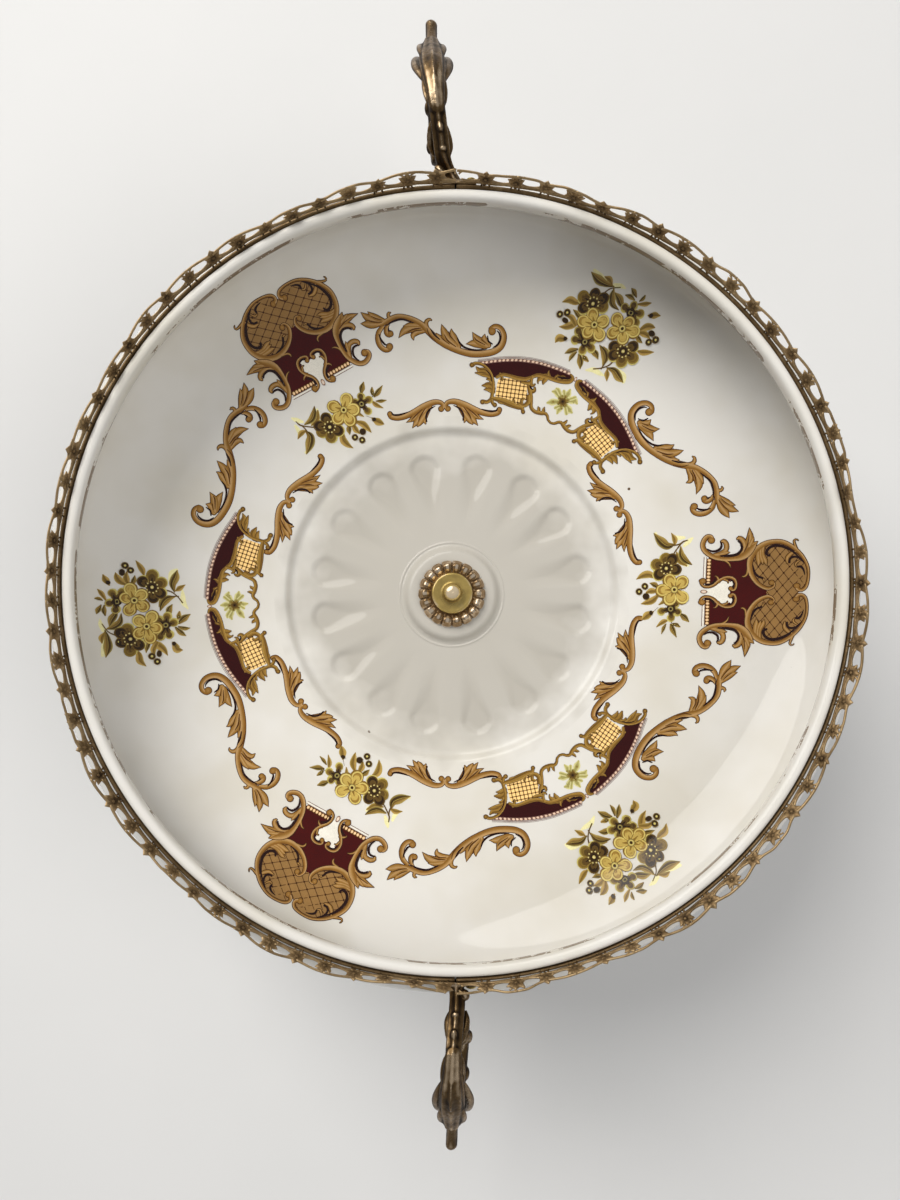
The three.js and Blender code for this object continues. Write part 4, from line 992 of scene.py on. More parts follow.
def paintPanelHalf(paint):
    look = panel
    paint.area(look["ground"], "maroonDeep", 1.5)
    paint.area(look["patch"], "patch", 1.5)
    paint.lattice(look["patch"], look["mesh"])
    beads = np.array(look["beadLine"])
    for dx, dy, width in ((0, 0, 0.6), (-0.42, 0.8, 0.13), (-0.62, 1.18, 0.07)):
        paint.stroke([(x + dx, y + dy, width) for x, y in beads], "rule", ends=False)
    track = throughPoints(beads, 0.25, 2)
    for i in np.linspace(2, len(track) - 3, look["beads"]).astype(int):
        dx, dy = track[i + 2] - track[i - 2]
        paint.blob(track[i], (0.6, 0.42), math.degrees(math.atan2(dy, dx)) + 16, ("bead", "bead", "white"),
                   (1, 0.5), 8)
    paint.scrollwork(look["scrolls"], "bronze", "bronze", film["fineOutline"])


def paintPanelFlower(paint):
    for stations in panel["flowerLeaves"]:
        paint.stroke([(x, y, half * 1.35) for x, y, half in stations], "starLeaf")
        paint.stroke([stations[0], stations[1]], "paleDeep", 0.35)
    for x, y, radius in panel["flowerSpots"]:
        paint.dot(x, y, radius * 1.15, ("paleDeep", "mid", "dark"), 10)
    cx, cy = panel["flower"]
    paint.dot(cx, cy, 1.5, ("mid", "dark", "darkDeep", "darkDeep"))
    for k in range(5):
        a, b = 1.3 * k, 1.3 * k + 0.3
        paint.stroke([(cx + 0.9 * math.cos(a), cy + 0.9 * math.sin(a), 0.2),
                      (cx + 2.1 * math.cos(b), cy + 2.1 * math.sin(b), 0.12)], "dark")
    paint.blob(panel["ring"], (0.5, 0.95), 0, ("rule", "rule", "bead", "white"), (1, 0.72, 0.66), 12)


# the rings of a petal from its edge inwards, and the colours of those rings for petals in shade and in light
petalRings = (1.0, 0.93, 0.86, 0.72, 0.64, 0.56)
flowerLooks = {
    "light": {"shadow": "tanDeep", "edge": "dark", "body": "olive", "root": "lightRoot",
              "shaded": ("mid", "oliveDeep", "oliveRim", "olive", "tanDeep", "oliveDeep", "tan"),
              "lit": ("mid", "oliveRim", "oliveRim", "olive", "tanDeep", "olive", "oliveDeep"),
              "middle": [(1.42, ("dark", "oliveRim", "olive", "oliveRim")),
                         (0.62, ("dark", "darkDeep", "darkDeep"))]},
    "dark": {"shadow": "leafTip", "edge": "darkRim", "body": "dark", "root": "darkRoot", "dots": 10,
             "shaded": ("mid", "dark", "dark", "darkDeep", "darkDeep", "darkDeep", "darkDeep"),
             "lit": ("dark", "darkRim", "mid", "mid", "dark", "mid", "dark"),
             "middle": [(2.2, ("dark", "darkDeep", "darkDeep", "darkDeep")),
                        (0.66, ("darkRim", "dot", "dot"))]},
    "small": {"shadow": "leafTip", "edge": "dark", "body": "dark", "root": "darkRoot",
              "shaded": ("dark", "darkRim", "leafTip", "mid", "dark", "dark", "darkDeep"),
              "lit": ("dark", "leafTip", "darkRim", "mid", "mid", "mid", "dark"),
              "middle": [(1.6, ("darkDeep", "darkDeep", "dark")), (1.1, ("darkDeep", "oliveRim", "oliveRim")),
                         (0.55, ("darkDeep",) * 3)]},
}

# bouquet between two panels, drawn free: a flower is (kind, petal radius, [middle, petals...])
bouquet = {
    "middle": (-8, 115.5),
    "halos": [[(-6.0, 100.6, .3), (-3.6, 102.2, 1.0), (-1, 102.4, .8), (1.2, 102.6, .2)],
              [(-14.6, 128.6, .8), (-12.4, 129.6, .7), (-10.6, 129.8, .2)],
              [(4.6, 107, .6), (7.4, 106.4, .9), (8.6, 104.6, .6)],
              [(-24, 128.6, .5), (-21, 128.6, .6), (-18, 128.4, .3)]],
    "darkLeaves": [
        [(-24.6, 127.7, .15), (-21, 127.2, 1.25), (-17.6, 127.5, .8), (-14.6, 128.3, .15)],
        [(-14.2, 127.8, .2), (-13.2, 125.6, 1.1), (-11.4, 123.8, .9), (-8.4, 123.4, .15)],
        [(-13, 127, .2), (-10.6, 126.4, 1.1), (-8.8, 125.4, .9), (-7.2, 125.0, .2)],
        [(-22.8, 115.0, .15), (-20.6, 114.7, .8), (-18.6, 113.8, .4)],
        [(-16.4, 101.2, .15), (-15.2, 103.0, .9), (-13.4, 104.8, .4)],
        [(-13.4, 99.8, .15), (-13.6, 101.6, .7), (-13.0, 103.8, .3)],
        [(-8.2, 99.8, .2), (-9.6, 101.8, 1.1), (-11.4, 103.6, .5)],
        [(-4.6, 106.2, .2), (-6.4, 107.2, 1.0), (-8.6, 107.4, .7)],
        [(-1.6, 105.2, .2), (-2.4, 107.8, 1.2), (-4.2, 109.4, 1.1), (-7.0, 110.4, .15)],
        [(0.2, 105.4, .2), (3.2, 106.0, 1.1), (6.0, 105.0, 1.3), (8.4, 104.4, .2)],
        [(2.6, 120.2, .3), (4.2, 119.3, .8), (6.0, 119.0, .15)],
        [(-8.6, 130.8, .2), (-7.2, 130.4, .75), (-5.4, 129.6, .2)],
        [(-9.2, 128.3, .2), (-7.4, 128.7, .7), (-5.6, 128.6, .3)],
        [(-3.0, 131.2, .3), (-3.0, 130.3, .6), (-3.6, 129.2, .2)],
    ],
    "tanLeaves": [
        [(-19.4, 129.0, .2), (-17.4, 129.2, .8), (-15.4, 128.3, .2)],
        [(-27.9, 114.9, .15), (-26.0, 116.9, 1.1), (-23.6, 117.4, .9), (-21.8, 118.2, .15)],
        [(-23.8, 107.6, .15), (-21.6, 109.0, 1.0), (-19.8, 111.2, 1.2), (-18.8, 113.2, .3)],
        [(-24, 112.0, .15), (-21.8, 112.6, .9), (-19.4, 111.6, .8)],
        [(-21.8, 102.4, .2), (-21.6, 104.2, 1.3), (-19.8, 105.2, .9), (-18.8, 105.9, .2)],
        [(-7.4, 103.6, .4), (-8.8, 103.8, .8), (-10.2, 104.2, .3)],
        [(-1.8, 108, .2), (-3.2, 110.0, .6), (-5.4, 110.8, .15)],
        [(0.6, 105.0, .2), (1.6, 103.6, .9), (3.0, 101.6, .15)],
        [(6.0, 115.9, .15), (8.0, 116.4, .9), (9.8, 117.4, .8), (11.6, 118.6, .15)],
        [(2.4, 121.6, .3), (3.8, 123.8, 1.1), (5.4, 124.8, .9), (6.8, 125.2, .15)],
        [(2.6, 121.0, .3), (4.8, 121.8, 1.0), (7.4, 121.6, .15)],
        [(2.2, 127.2, .3), (4.0, 128.2, 1.0), (5.8, 129.0, .2)],
        [(0.4, 130.6, .15), (-1.0, 129.5, .7), (-3.4, 128.2, .3)],
    ],
    "stalks": [[(-3.8, 102.5, .25), (-1.6, 104.2, .22), (0.2, 106.4, .25), (0.9, 108.6, .3)],
               [(-1.5, 109, .15), (-1.4, 106.6, .18), (-1.4, 104.0, .25)],
               [(-16.6, 124.8, .25), (-15.2, 127.3, .2), (-12.4, 129.2, .15)]],
    "flowers": [
        ("small", 1.45, [(-3.9, 124.8), (-4.6, 127.1), (-0.9, 126.3), (-0.4, 123.3), (-7.0, 125.2)]),
        ("small", 1.55, [(-12.4, 108.4), (-16.1, 107.2), (-11.5, 105.7), (-9.2, 108.0), (-16.8, 110.2),
                         (-10.6, 110.8)]),
        ("dark", 2.15, [(-17.8, 120.3), (-19.0, 122.9), (-14.3, 121.4), (-22.2, 120.3), (-20.0, 117.6),
                        (-15.6, 123.4)]),
        ("dark", 2.15, [(1.8, 113.2), (3.8, 116.2), (6.2, 113.2), (3.4, 110.2), (-2.0, 112.8),
                        (-0.4, 110.4)]),
        ("light", 2.2, [(-3.3, 119.2), (-2.5, 121.9), (0.9, 120.6), (-1.2, 116.9), (-5.5, 116.4),
                        (-7.0, 120.8)]),
        ("light", 2.25, [(-13.0, 115.0), (-15.7, 117.4), (-11.0, 117.6), (-9.4, 113.3), (-13.6, 111.8),
                         (-17.3, 113.8)]),
    ],
    "knobs": [(-23.2, 110.5, 1.35, .95), (7.0, 123.2, 1.35, 1.0), (-19.4, 105.4, .8, .8),
              (3.0, 127.6, .8, .8)],
    "berries": [(-24.2, 113.0, 1.35), (-26.2, 111.1, 1.3), (9.6, 122.2, 1.3), (7.9, 120.4, 1.25),
                (-9.2, 103.8, .6)],
}

# smaller spray under a cartouche
sprig = {
    "middle": (-1.5, 79.5),
    "halos": [[(-19.6, 88.6, .4), (-18.4, 87.2, .9), (-16.8, 85.6, .5)],
              [(-19.9, 85.6, .5), (-19.8, 83.4, .8), (-20.4, 81.8, .5)],
              [(-21.6, 75.2, .5), (-19.4, 75.8, .6), (-17.6, 76.8, .3)],
              [(-9.6, 87.0, .4), (-9.6, 85.6, .4)]],
    "darkLeaves": [
        [(-16.4, 84.4, .3), (-13.4, 84.7, 1.1), (-11.4, 86.2, 1.0), (-9.9, 88.4, .15)],
        [(-17.4, 82.0, .3), (-17.0, 79.4, 1.3), (-18.8, 77.0, 1.5), (-21.6, 74.6, .2)],
        [(8.4, 84.2, .5), (9.6, 85.6, 1.0), (11.0, 87.0, .25)],
        [(11.7, 81.6, .3), (12.2, 82.6, .7), (12.9, 83.8, .25)],
        [(12, 80.5, .3), (14.0, 81.2, .9), (16.7, 82.5, .15)],
        [(11.8, 78.7, .2), (13.4, 77.8, .6), (15.3, 77.1, .15)],
        [(-2.0, 75.8, .5), (-2.8, 74.6, .9), (-3.4, 72.9, .15)],
        [(3.6, 82.6, .4), (4.4, 81.8, .9), (4.6, 80.4, .3)],
        [(2.2, 77.8, .4), (3.2, 78.4, .9), (4.8, 79.2, .3)],
    ],
    "tanLeaves": [
        [(-14.4, 82.9, .3), (-11.4, 83.9, .9), (-9.6, 86.4, .3)],
        [(-17.2, 82.2, .3), (-19.4, 82.2, .9), (-21.6, 81.0, .15)],
        [(10.4, 79.4, .3), (11.0, 77.6, .8), (12.8, 75.2, .15)],
        [(-5.2, 75.2, .3), (-6.6, 72.6, 1.2), (-6.2, 70.2, 1.0), (-4.9, 67.9, .15)],
        [(1.0, 76, .4), (3.0, 73.8, 1.1), (3.8, 71.4, .8), (4.2, 69.6, .15)],
        [(-0.4, 75.6, .5), (-0.5, 73.4, 1.0), (0.0, 71.6, .3)],
        [(7.2, 74.0, .3), (8.4, 71.9, 1.25), (9.6, 70.4, .7), (10.0, 69.9, .2)],
        [(4.6, 76.2, .2), (3.6, 77.8, .6), (2.6, 79.0, .2)],
    ],
    "stalks": [[(-18.9, 86.8, .2), (-18.2, 85.0, .3), (-16.2, 83.3, .25), (-13.6, 81.5, .25)],
               [(-18.0, 84.9, .2), (-17.3, 83.2, .25), (-17.1, 81.4, .3)],
               [(5.6, 75.9, .06), (7.2, 74.0, .08)], [(10.2, 80.8, .12), (11.6, 80.9, .12),
                                                      (12.6, 81.6, .1)]],
    "flowers": [
        ("small", 1.4, [(6.3, 80.5), (7.4, 83.1), (9.4, 80.7), (7.0, 77.2), (4.4, 82.4)]),
        ("dark", 2.2, [(-8.7, 79.0), (-8.3, 82.4), (-12.2, 78.9), (-10.2, 75.6), (-6.6, 76.4),
                       (-12.0, 81.2)]),
        ("light", 2.4, [(-0.8, 81.9), (-3.6, 84.8), (2.0, 84.8), (2.4, 80.3), (-0.7, 77.6), (-4.3, 80.3)]),
    ],
    "knobs": [(1.5, 71.4, 1.3, 1.3), (7.6, 73.2, .9, .75)],
    "berries": [(-2.2, 71.0, 1.3), (-0.3, 68.8, 1.3), (12.1, 82.0, .5), (12.0, 81.1, .45)],
}


def paintFlower(paint, kind, radius, petals):
    look, (cx, cy) = flowerLooks[kind], petals[0]
    for x, y in petals[1:]:
        paint.dot(x + 0.25, y - 0.25, 1.08 * radius, (look["shadow"],) * 3)
    for number, (x, y) in enumerate(petals[1:]):
        far = math.hypot(x - cx, y - cy)
        dx, dy = (x - cx) / far, (y - cy) / far
        neck = [(cx + dx * share * far, cy + dy * share * far, half * radius)
                for share, half in ((0.2, 0.34), (0.5, 0.6), (0.85, 0.62))]
        paint.stroke(neck, look["edge"], -0.12)
        tones = look["lit" if number % 5 in (1, 2) else "shaded"]
        paint.blob((x, y), (1.06 * radius, 0.98 * radius), math.degrees(math.atan2(dy, dx)), tones,
                   petalRings, 20)
        paint.stroke(neck, look["body"], 0.12)
        root = [(cx + dx * share, cy + dy * share, half) for share, half in ((1.2, 0.55), (0.8 * far, 0.12))]
        paint.stroke(root, look["root"])
    for size, tones in look["middle"]:
        paint.dot(cx, cy, size, tones)
    for k in range(look.get("dots", 0)):
        a = 2 * math.pi * (k + 0.3) / look["dots"]
        paint.dot(cx + 2.1 * math.cos(a), cy + 2.05 * math.sin(a), 0.34, ("darkRim", "dot", "dot"), 8)


midribs = {"dark": "darkRim", "tan": "stalk"}


def paintPosy(paint, posy):
    for stations in posy["halos"]:
        paint.stroke(stations, "halo")
    for kind in ("tan", "dark"):
        for stations in posy[kind + "Leaves"]:
            # a leaf is drawn from the end that is nearer to the middle of the posy
            first, last = (math.dist(s[:2], posy["middle"]) for s in (stations[0], stations[-1]))
            leaf = [(x, y, 1.15 * half) for x, y, half in stations[::1 if last > first else -1]]
            paint.stroke(leaf, kind + "Leaf", tip=kind + "Tip")
            paint.stroke([(x, y, half * 0.06 + 0.02) for x, y, half in leaf], midribs[kind], ends=False)
    for stations in posy["stalks"]:
        paint.stroke(stations, "stalk")
    for flower in posy["flowers"]:
        paintFlower(paint, *flower)
    for x, y, long, wide in posy["knobs"]:
        paint.blob((x, y), (long, wide), 0, ("mid", "darkDeep", "darkDeep", "darkDeep"), (1, 0.8, 0.4), 14)
    for x, y, radius in posy["berries"]:
        paint.dot(x, y, radius, ("mid", "darkDeep", "darkDeep", "oliveRim", "oliveRim"))


# where the copies lie: (angle, rise, tilt). They were laid by hand, so no two sit quite alike
layout = {
    "cartouches": [(0.0, 0.0, 2.0), (121.2, -1.6, 2.0), (242.9, 0.6, 2.0)],
    "scrollsRight": [(120.0, 0.0), (240.5, -0.6), (357.5, 1.0)],
    "scrollsLeft": [(123.0, 0.4), (245.3, 0.2), (3.9, 1.0)],
    "brackets": [(26.3, 0), (92.3, 0), (150.5, 0), (216.5, 0), (267.8, 0), (335.8, 0)],
    "panels": [(60.0, 0.0), (183.1, -1.4), (303.6, -1.2)],
    "bouquets": [(55.6, -1.8), (180.0, 0.0), (299.0, 0.0)],
    "sprigs": [(0.4, 3.4), (120.0, 0.0), (242.2, 2.0)],
}
cartouches, scrolls, brackets, panels, flowers = (Painting() for _ in range(5))
for angle, rise, tilt in layout["cartouches"]:
    paintCartouche(cartouches, angle, rise, tilt)
for key, mirror in (("scrollsRight", 1), ("scrollsLeft", -1)):
    for angle, rise in layout[key]:
        scrolls.at(angle, rise, mirror)
        scrolls.scrollwork(longScroll)
for angle, rise in layout["brackets"]:
    for mirror in (1, -1):
        brackets.at(angle, rise, mirror)
        brackets.scrollwork(bracket)
for angle, rise in layout["panels"]:
    for mirror in (1, -1):
        panels.at(angle, rise, mirror)
        paintPanelHalf(panels)
    panels.at(angle, rise)
    paintPanelFlower(panels)
for key, posy in (("bouquets", bouquet), ("sprigs", sprig)):
    for angle, rise in layout[key]:
        flowers.at(angle, rise)
        paintPosy(flowers, posy)
for name, painting in (("cartouches", cartouches), ("scrolls", scrolls), ("brackets", brackets),
                       ("panels", panels), ("flowers", flowers)):
    painting.piece("painted_" + name, enamel)


# pierced gallery round the lip

gallery = {
    "inner": 132.3, "thickness": 0.8, "bottom": 123.1, "collarTop": 127.3, "flareOut": 2.6, "flareUp": 3.6,
    "units": 42, "jointGap": 0.6, "wire": 0.48, "crownFlower": (3.4, 2.7), "cuspFlower": (3.6, 3.0),
    "points": 6, "notch": 0.66, "wireDepth": 0.34, "radius": 134,
}
# how far the band has been pushed in or out over the years: (angle, half width, lean), all in degrees
galleryBends = [(12, 5, 32), (39, 6, 8), (70, 7, 28), (84, 4, 14), (113, 12, 30), (149, 8, 22), (165, 9, 16),
                (182, 8, 10), (209, 9, -20), (225.5, 3, 12), (244, 5, -8), (262, 5, 28), (290, 7, 15),
                (306, 5, -30), (315, 5, -12), (330, 5, -28), (349, 5, -18)]


def galleryLean(angle):
    degrees = np.degrees(angle)
    lean = np.full_like(degrees, 4.0)
    for centre, half, amount in galleryBends:
        away = (degrees - centre + 180) % 360 - 180
        lean += amount * np.exp(-(away / half) ** 2)
    return np.radians(lean)


# from (along the band, up its slope, proud of it) to a place in space. u is an angle in radians
def onGallery(u, v, h=0.0):
    u, v, h = np.broadcast_arrays(np.asarray(u, float), np.asarray(v, float), np.asarray(h, float))
    tilt = math.atan2(gallery["flareOut"], gallery["flareUp"]) - galleryLean(u)
    tilt = np.where(v > 0, tilt, 0)
    middle = gallery["inner"] + gallery["thickness"] / 2
    r = middle + v * np.sin(tilt) * (v > 0) - h * np.cos(tilt)
    z = gallery["collarTop"] + v * np.cos(tilt) + h * np.sin(tilt)
    return np.stack([r * np.cos(u), r * np.sin(u), z], axis=-1)


# a flat wire that follows points of (angle, slope height) on the band, with its own thickness
def galleryWire(shape, points, width, depth, sides=6):
    u, v = points[:, 0], points[:, 1]
    middle, proud = onGallery(u, v), onGallery(u, v, 1.0)
    normal = unit(proud - middle)
    along = unit(np.gradient(middle, axis=0))
    side = unit(np.cross(along, normal))
    phi = roundAngles(sides)
    width = np.broadcast_to(np.asarray(width, float), u.shape)[:, None, None]
    ring = (middle[:, None] + side[:, None] * width * np.cos(phi)[None, :, None]
            + normal[:, None] * depth * np.sin(phi)[None, :, None])
    shape.addGrid(ring)


# a flat stamped star with six points, slightly domed and creased, on both sides of the band
def galleryFlower(shape, u0, v0, size, turn):
    count = 8 * gallery["points"]
    half = math.pi / gallery["points"]
    phi = roundAngles(count)
    off = np.abs((phi + half) % (2 * half) - half)
    notch = gallery["notch"]
    deep = notch * math.sin(half)
    outline = deep / (deep * np.cos(off) + (1 - notch * math.cos(half)) * np.sin(off))
    ridge = 1 - off / half
    rings = []
    for share, high, crease in ((0.08, 0.55, 0), (0.15, 0.5, 0), (0.22, 0.34, 0), (0.55, 0.3, 0.1),
                                (0.85, 0.24, 0.1), (1.0, 0.08, 0), (1.0, -0.2, 0), (0.7, -0.36, 0),
                                (0.1, -0.3, 0)):
        along, up = outline * share * np.cos(phi + turn), outline * share * np.sin(phi + turn)
        rings.append(onGallery(u0 + along * size[0] / gallery["radius"], v0 + up * size[1],
                               high + crease * (ridge - 0.5)))
    shape.addGrid(np.stack(rings))


def halfGallery(name, startAngle, phase, replaced):
    shape = Shape()
    random = np.random.default_rng(len(name))
    gap = gallery["jointGap"] / 2 / gallery["inner"]
    low, high = startAngle + gap, startAngle + math.pi - gap
    # upright collar with a rolled lower edge and a fine milled line
    angles = np.linspace(low, high, 361)
    thick = gallery["thickness"]
    outline = [(0, 0.3), (0.3, 0), (thick + 0.25, -0.1), (thick + 0.45, 0.35), (thick + 0.2, 0.8),
               (thick, 1.0), (thick, 2.6), (thick + 0.15, 2.8), (thick, 3.0), (thick, 3.9), (0, 3.9)]
    grid = np.stack([np.stack([(gallery["inner"] + dr) * np.cos(angles),
                               (gallery["inner"] + dr) * np.sin(angles),
                               0 * angles + gallery["bottom"] + dz], axis=-1) for dr, dz in outline], axis=1)
    shape.addGrid(grid)

    def wire(points, width, depth=gallery["wireDepth"]):
        u, v = throughPoints([(u * gallery["radius"], v) for u, v in points], 0.6, 2).T
        galleryWire(shape, np.stack([np.clip(u / gallery["radius"], low, high), v], axis=1), width, depth)

    # the rail above the slits
    waves = 1.15 + 0.12 * np.sin(angles * 2 * gallery["units"])
    galleryWire(shape, np.stack([angles, waves], axis=1), gallery["wire"], gallery["wireDepth"])
    step = 2 * math.pi / gallery["units"]
    for i in range(-1, gallery["units"] // 2 + 1):
        cusp = startAngle + math.radians(phase) + i * step
        crown = cusp + step / 2
        for middle, height, key in ((cusp, 3.0, "cuspFlower"), (crown, 2.7, "crownFlower")):
            if low + 0.012 < middle < high - 0.012:
                size = np.array(gallery[key]) * (1 + 0.06 * random.normal())
                galleryFlower(shape, middle + random.normal(0, 0.0009), height + 0.15 * random.normal(), size,
                              math.pi / 2 + 0.12 * random.normal())
                for side in (-0.0095, 0.0095):
                    wire([(middle + side * 1.15, -0.2), (middle + side, 0.5), (middle + side * 0.8, 1.5)],
                         0.34)
        rise = 0.22 * random.normal()
        for side in (-1, 1):
            # from the cusp to the crown: the arch, two flowing lines under the opening, and a small curl
            start = cusp if side < 0 else cusp + step
            if not low < (start + crown) / 2 < high:
                continue

            def share(s):
                return start + (crown - start) * s

            wire([(share(0.05), 4.2), (share(0.3), 4.65), (share(0.65), 5.2 + rise),
                  (share(1.0), 5.35 + rise)],
                 gallery["wire"], 0.4)
            wire([(share(0.2), 2.5), (share(0.36), 1.95), (share(0.6), 1.75), (share(0.82), 2.2)], 0.4)
            wire([(share(0.22), 1.5), (share(0.5), 1.6), (share(0.78), 1.3)], 0.24)
            wire([(share(0.9), 3.9), (share(0.84), 4.6), (share(0.74), 5.1)], 0.34)
    mesh = makeMesh(name, shape.all(), shape.faces)
    addPiece(name, mesh, stampedBrass, "stamped_brass", replaced)
    faceOutward(mesh)
    addRelief(mesh, 3, 0.3)
    # painted shade: the band is made darker where it meets the lip
    above = meshVectors(mesh, "co")[:, 2] / mm - gallery["collarTop"]
    shiftRelief(mesh, -0.9 * (1 - smoothstep(0.2, 1.8, above)))


halfGallery("gallery_half_right", -math.pi / 2, 4.29, "gallery_right")
halfGallery("gallery_half_left", math.pi / 2, 2.6, "gallery_left")
print("gallery made")


# cast scroll handles

handle = {
    "plateInner": 133.2, "plateHeight": 125.2, "length": 58, "rootLength": 8, "voxel": 0.32,
    "scroll": [(1.0, -3.0, 2.5, 2.1), (5.0, -2.2, 2.6, 2.6), (10.0, 2.2, 2.7, 3.0), (18.0, 7.4, 2.7, 3.0),
               (27.0, 7.2, 2.7, 3.0), (37.0, 0.6, 2.7, 3.0), (45.0, -9.0, 2.6, 3.0), (49.5, -20.0, 2.4, 3.0),
               (47.5, -31.5, 2.2, 2.8), (39.0, -39.0, 2.1, 2.6), (29.5, -38.5, 2.0, 2.3),
               (26.0, -32.5, 1.9, 2.0), (30.5, -29.0, 1.9, 1.9)],
    "leaf": [(17.4, 9.6, 1.9, 1.0), (19.5, 10.3, 2.6, 1.4), (25.5, 10.4, 3.1, 1.9), (32.0, 8.4, 3.9, 2.3),
             (38.5, 4.2, 4.1, 2.5), (44.0, -0.2, 3.4, 2.4), (49.0, -3.8, 2.7, 2.0)],
    "nose": [(45.0, -2.0, 1.9, 1.6), (50.0, -5.0, 1.9, 1.8), (55.0, -7.6, 2.0, 1.8), (58.4, -8.8, 2.0, 1.7)],
    "rootCurl": [(9.0, 0.5, 1.6, 1.6), (12.0, -4.0, 1.6, 1.6), (9.5, -8.2, 1.8, 1.6), (6.6, -6.6, 2.1, 1.7)],
}


# a tapering cast bar in the (outward, up) plane: rows of rings of (sideways, outward, up)
def barGrid(stations, step, sides, groove=0.0, grooves=3, veins=0.0, veinPitch=2.2):
    s = throughPoints(stations, step, 2)
    middle = np.stack([0 * s[:, 0], s[:, 0], s[:, 1]], axis=1)
    tangent = unit(np.gradient(middle, axis=0))
    sideways = np.array([1.0, 0, 0])
    up = unit(np.cross(sideways, tangent))
    phi = roundAngles(sides)
    ridge = 1 + groove * np.cos(grooves * 2 * (phi - math.pi / 2)) * (np.sin(phi) > -0.2)
    along = np.concatenate([[0], np.cumsum(np.linalg.norm(np.diff(middle, axis=0), axis=1))])
    chevron = np.cos(2 * math.pi * (along[:, None] / veinPitch + 0.9 * np.abs(np.cos(phi))[None]))
    swell = 1 + veins * chevron * np.clip(np.sin(phi), 0, 1)[None]
    return (middle[:, None] + sideways * (s[:, 2][:, None] * np.cos(phi) * ridge)[..., None]
            + up[:, None] * (s[:, 3][:, None] * np.sin(phi) * ridge * swell)[..., None])


# a closed lump with rounded ends along the outward direction. radii are (sideways, outward, up)
def ballGrid(centre, radii, tilt=0.0, rings=9, sides=16):
    t = np.linspace(0.06, math.pi - 0.06, rings)
    phi = roundAngles(sides)
    x = radii[0] * np.sin(t)[:, None] * np.cos(phi)
    z = radii[2] * np.sin(t)[:, None] * np.sin(phi)
    y = -radii[1] * np.cos(t)[:, None] * np.ones(sides)
    y, z = turned(y, z, -tilt)
    return np.stack([x + centre[0], y + centre[1], z + centre[2]], axis=-1)


# a flattened bar through points in space: stations are (sideways, outward, up, half width)
def lobeGrid(stations, step, sides, flat):
    s = throughPoints(stations, step, 3)
    middle = s[:, :3]
    tangent = unit(np.gradient(middle, axis=0))
    reference = np.array([0.3, 0.1, 1.0])
    side = unit(np.cross(tangent, reference))
    up = unit(np.cross(side, tangent))
    phi = roundAngles(sides)
    w = s[:, 3][:, None]
    across, high = w * np.cos(phi), w * flat * np.sin(phi)
    return middle[:, None] + side[:, None] * across[..., None] + up[:, None] * high[..., None]


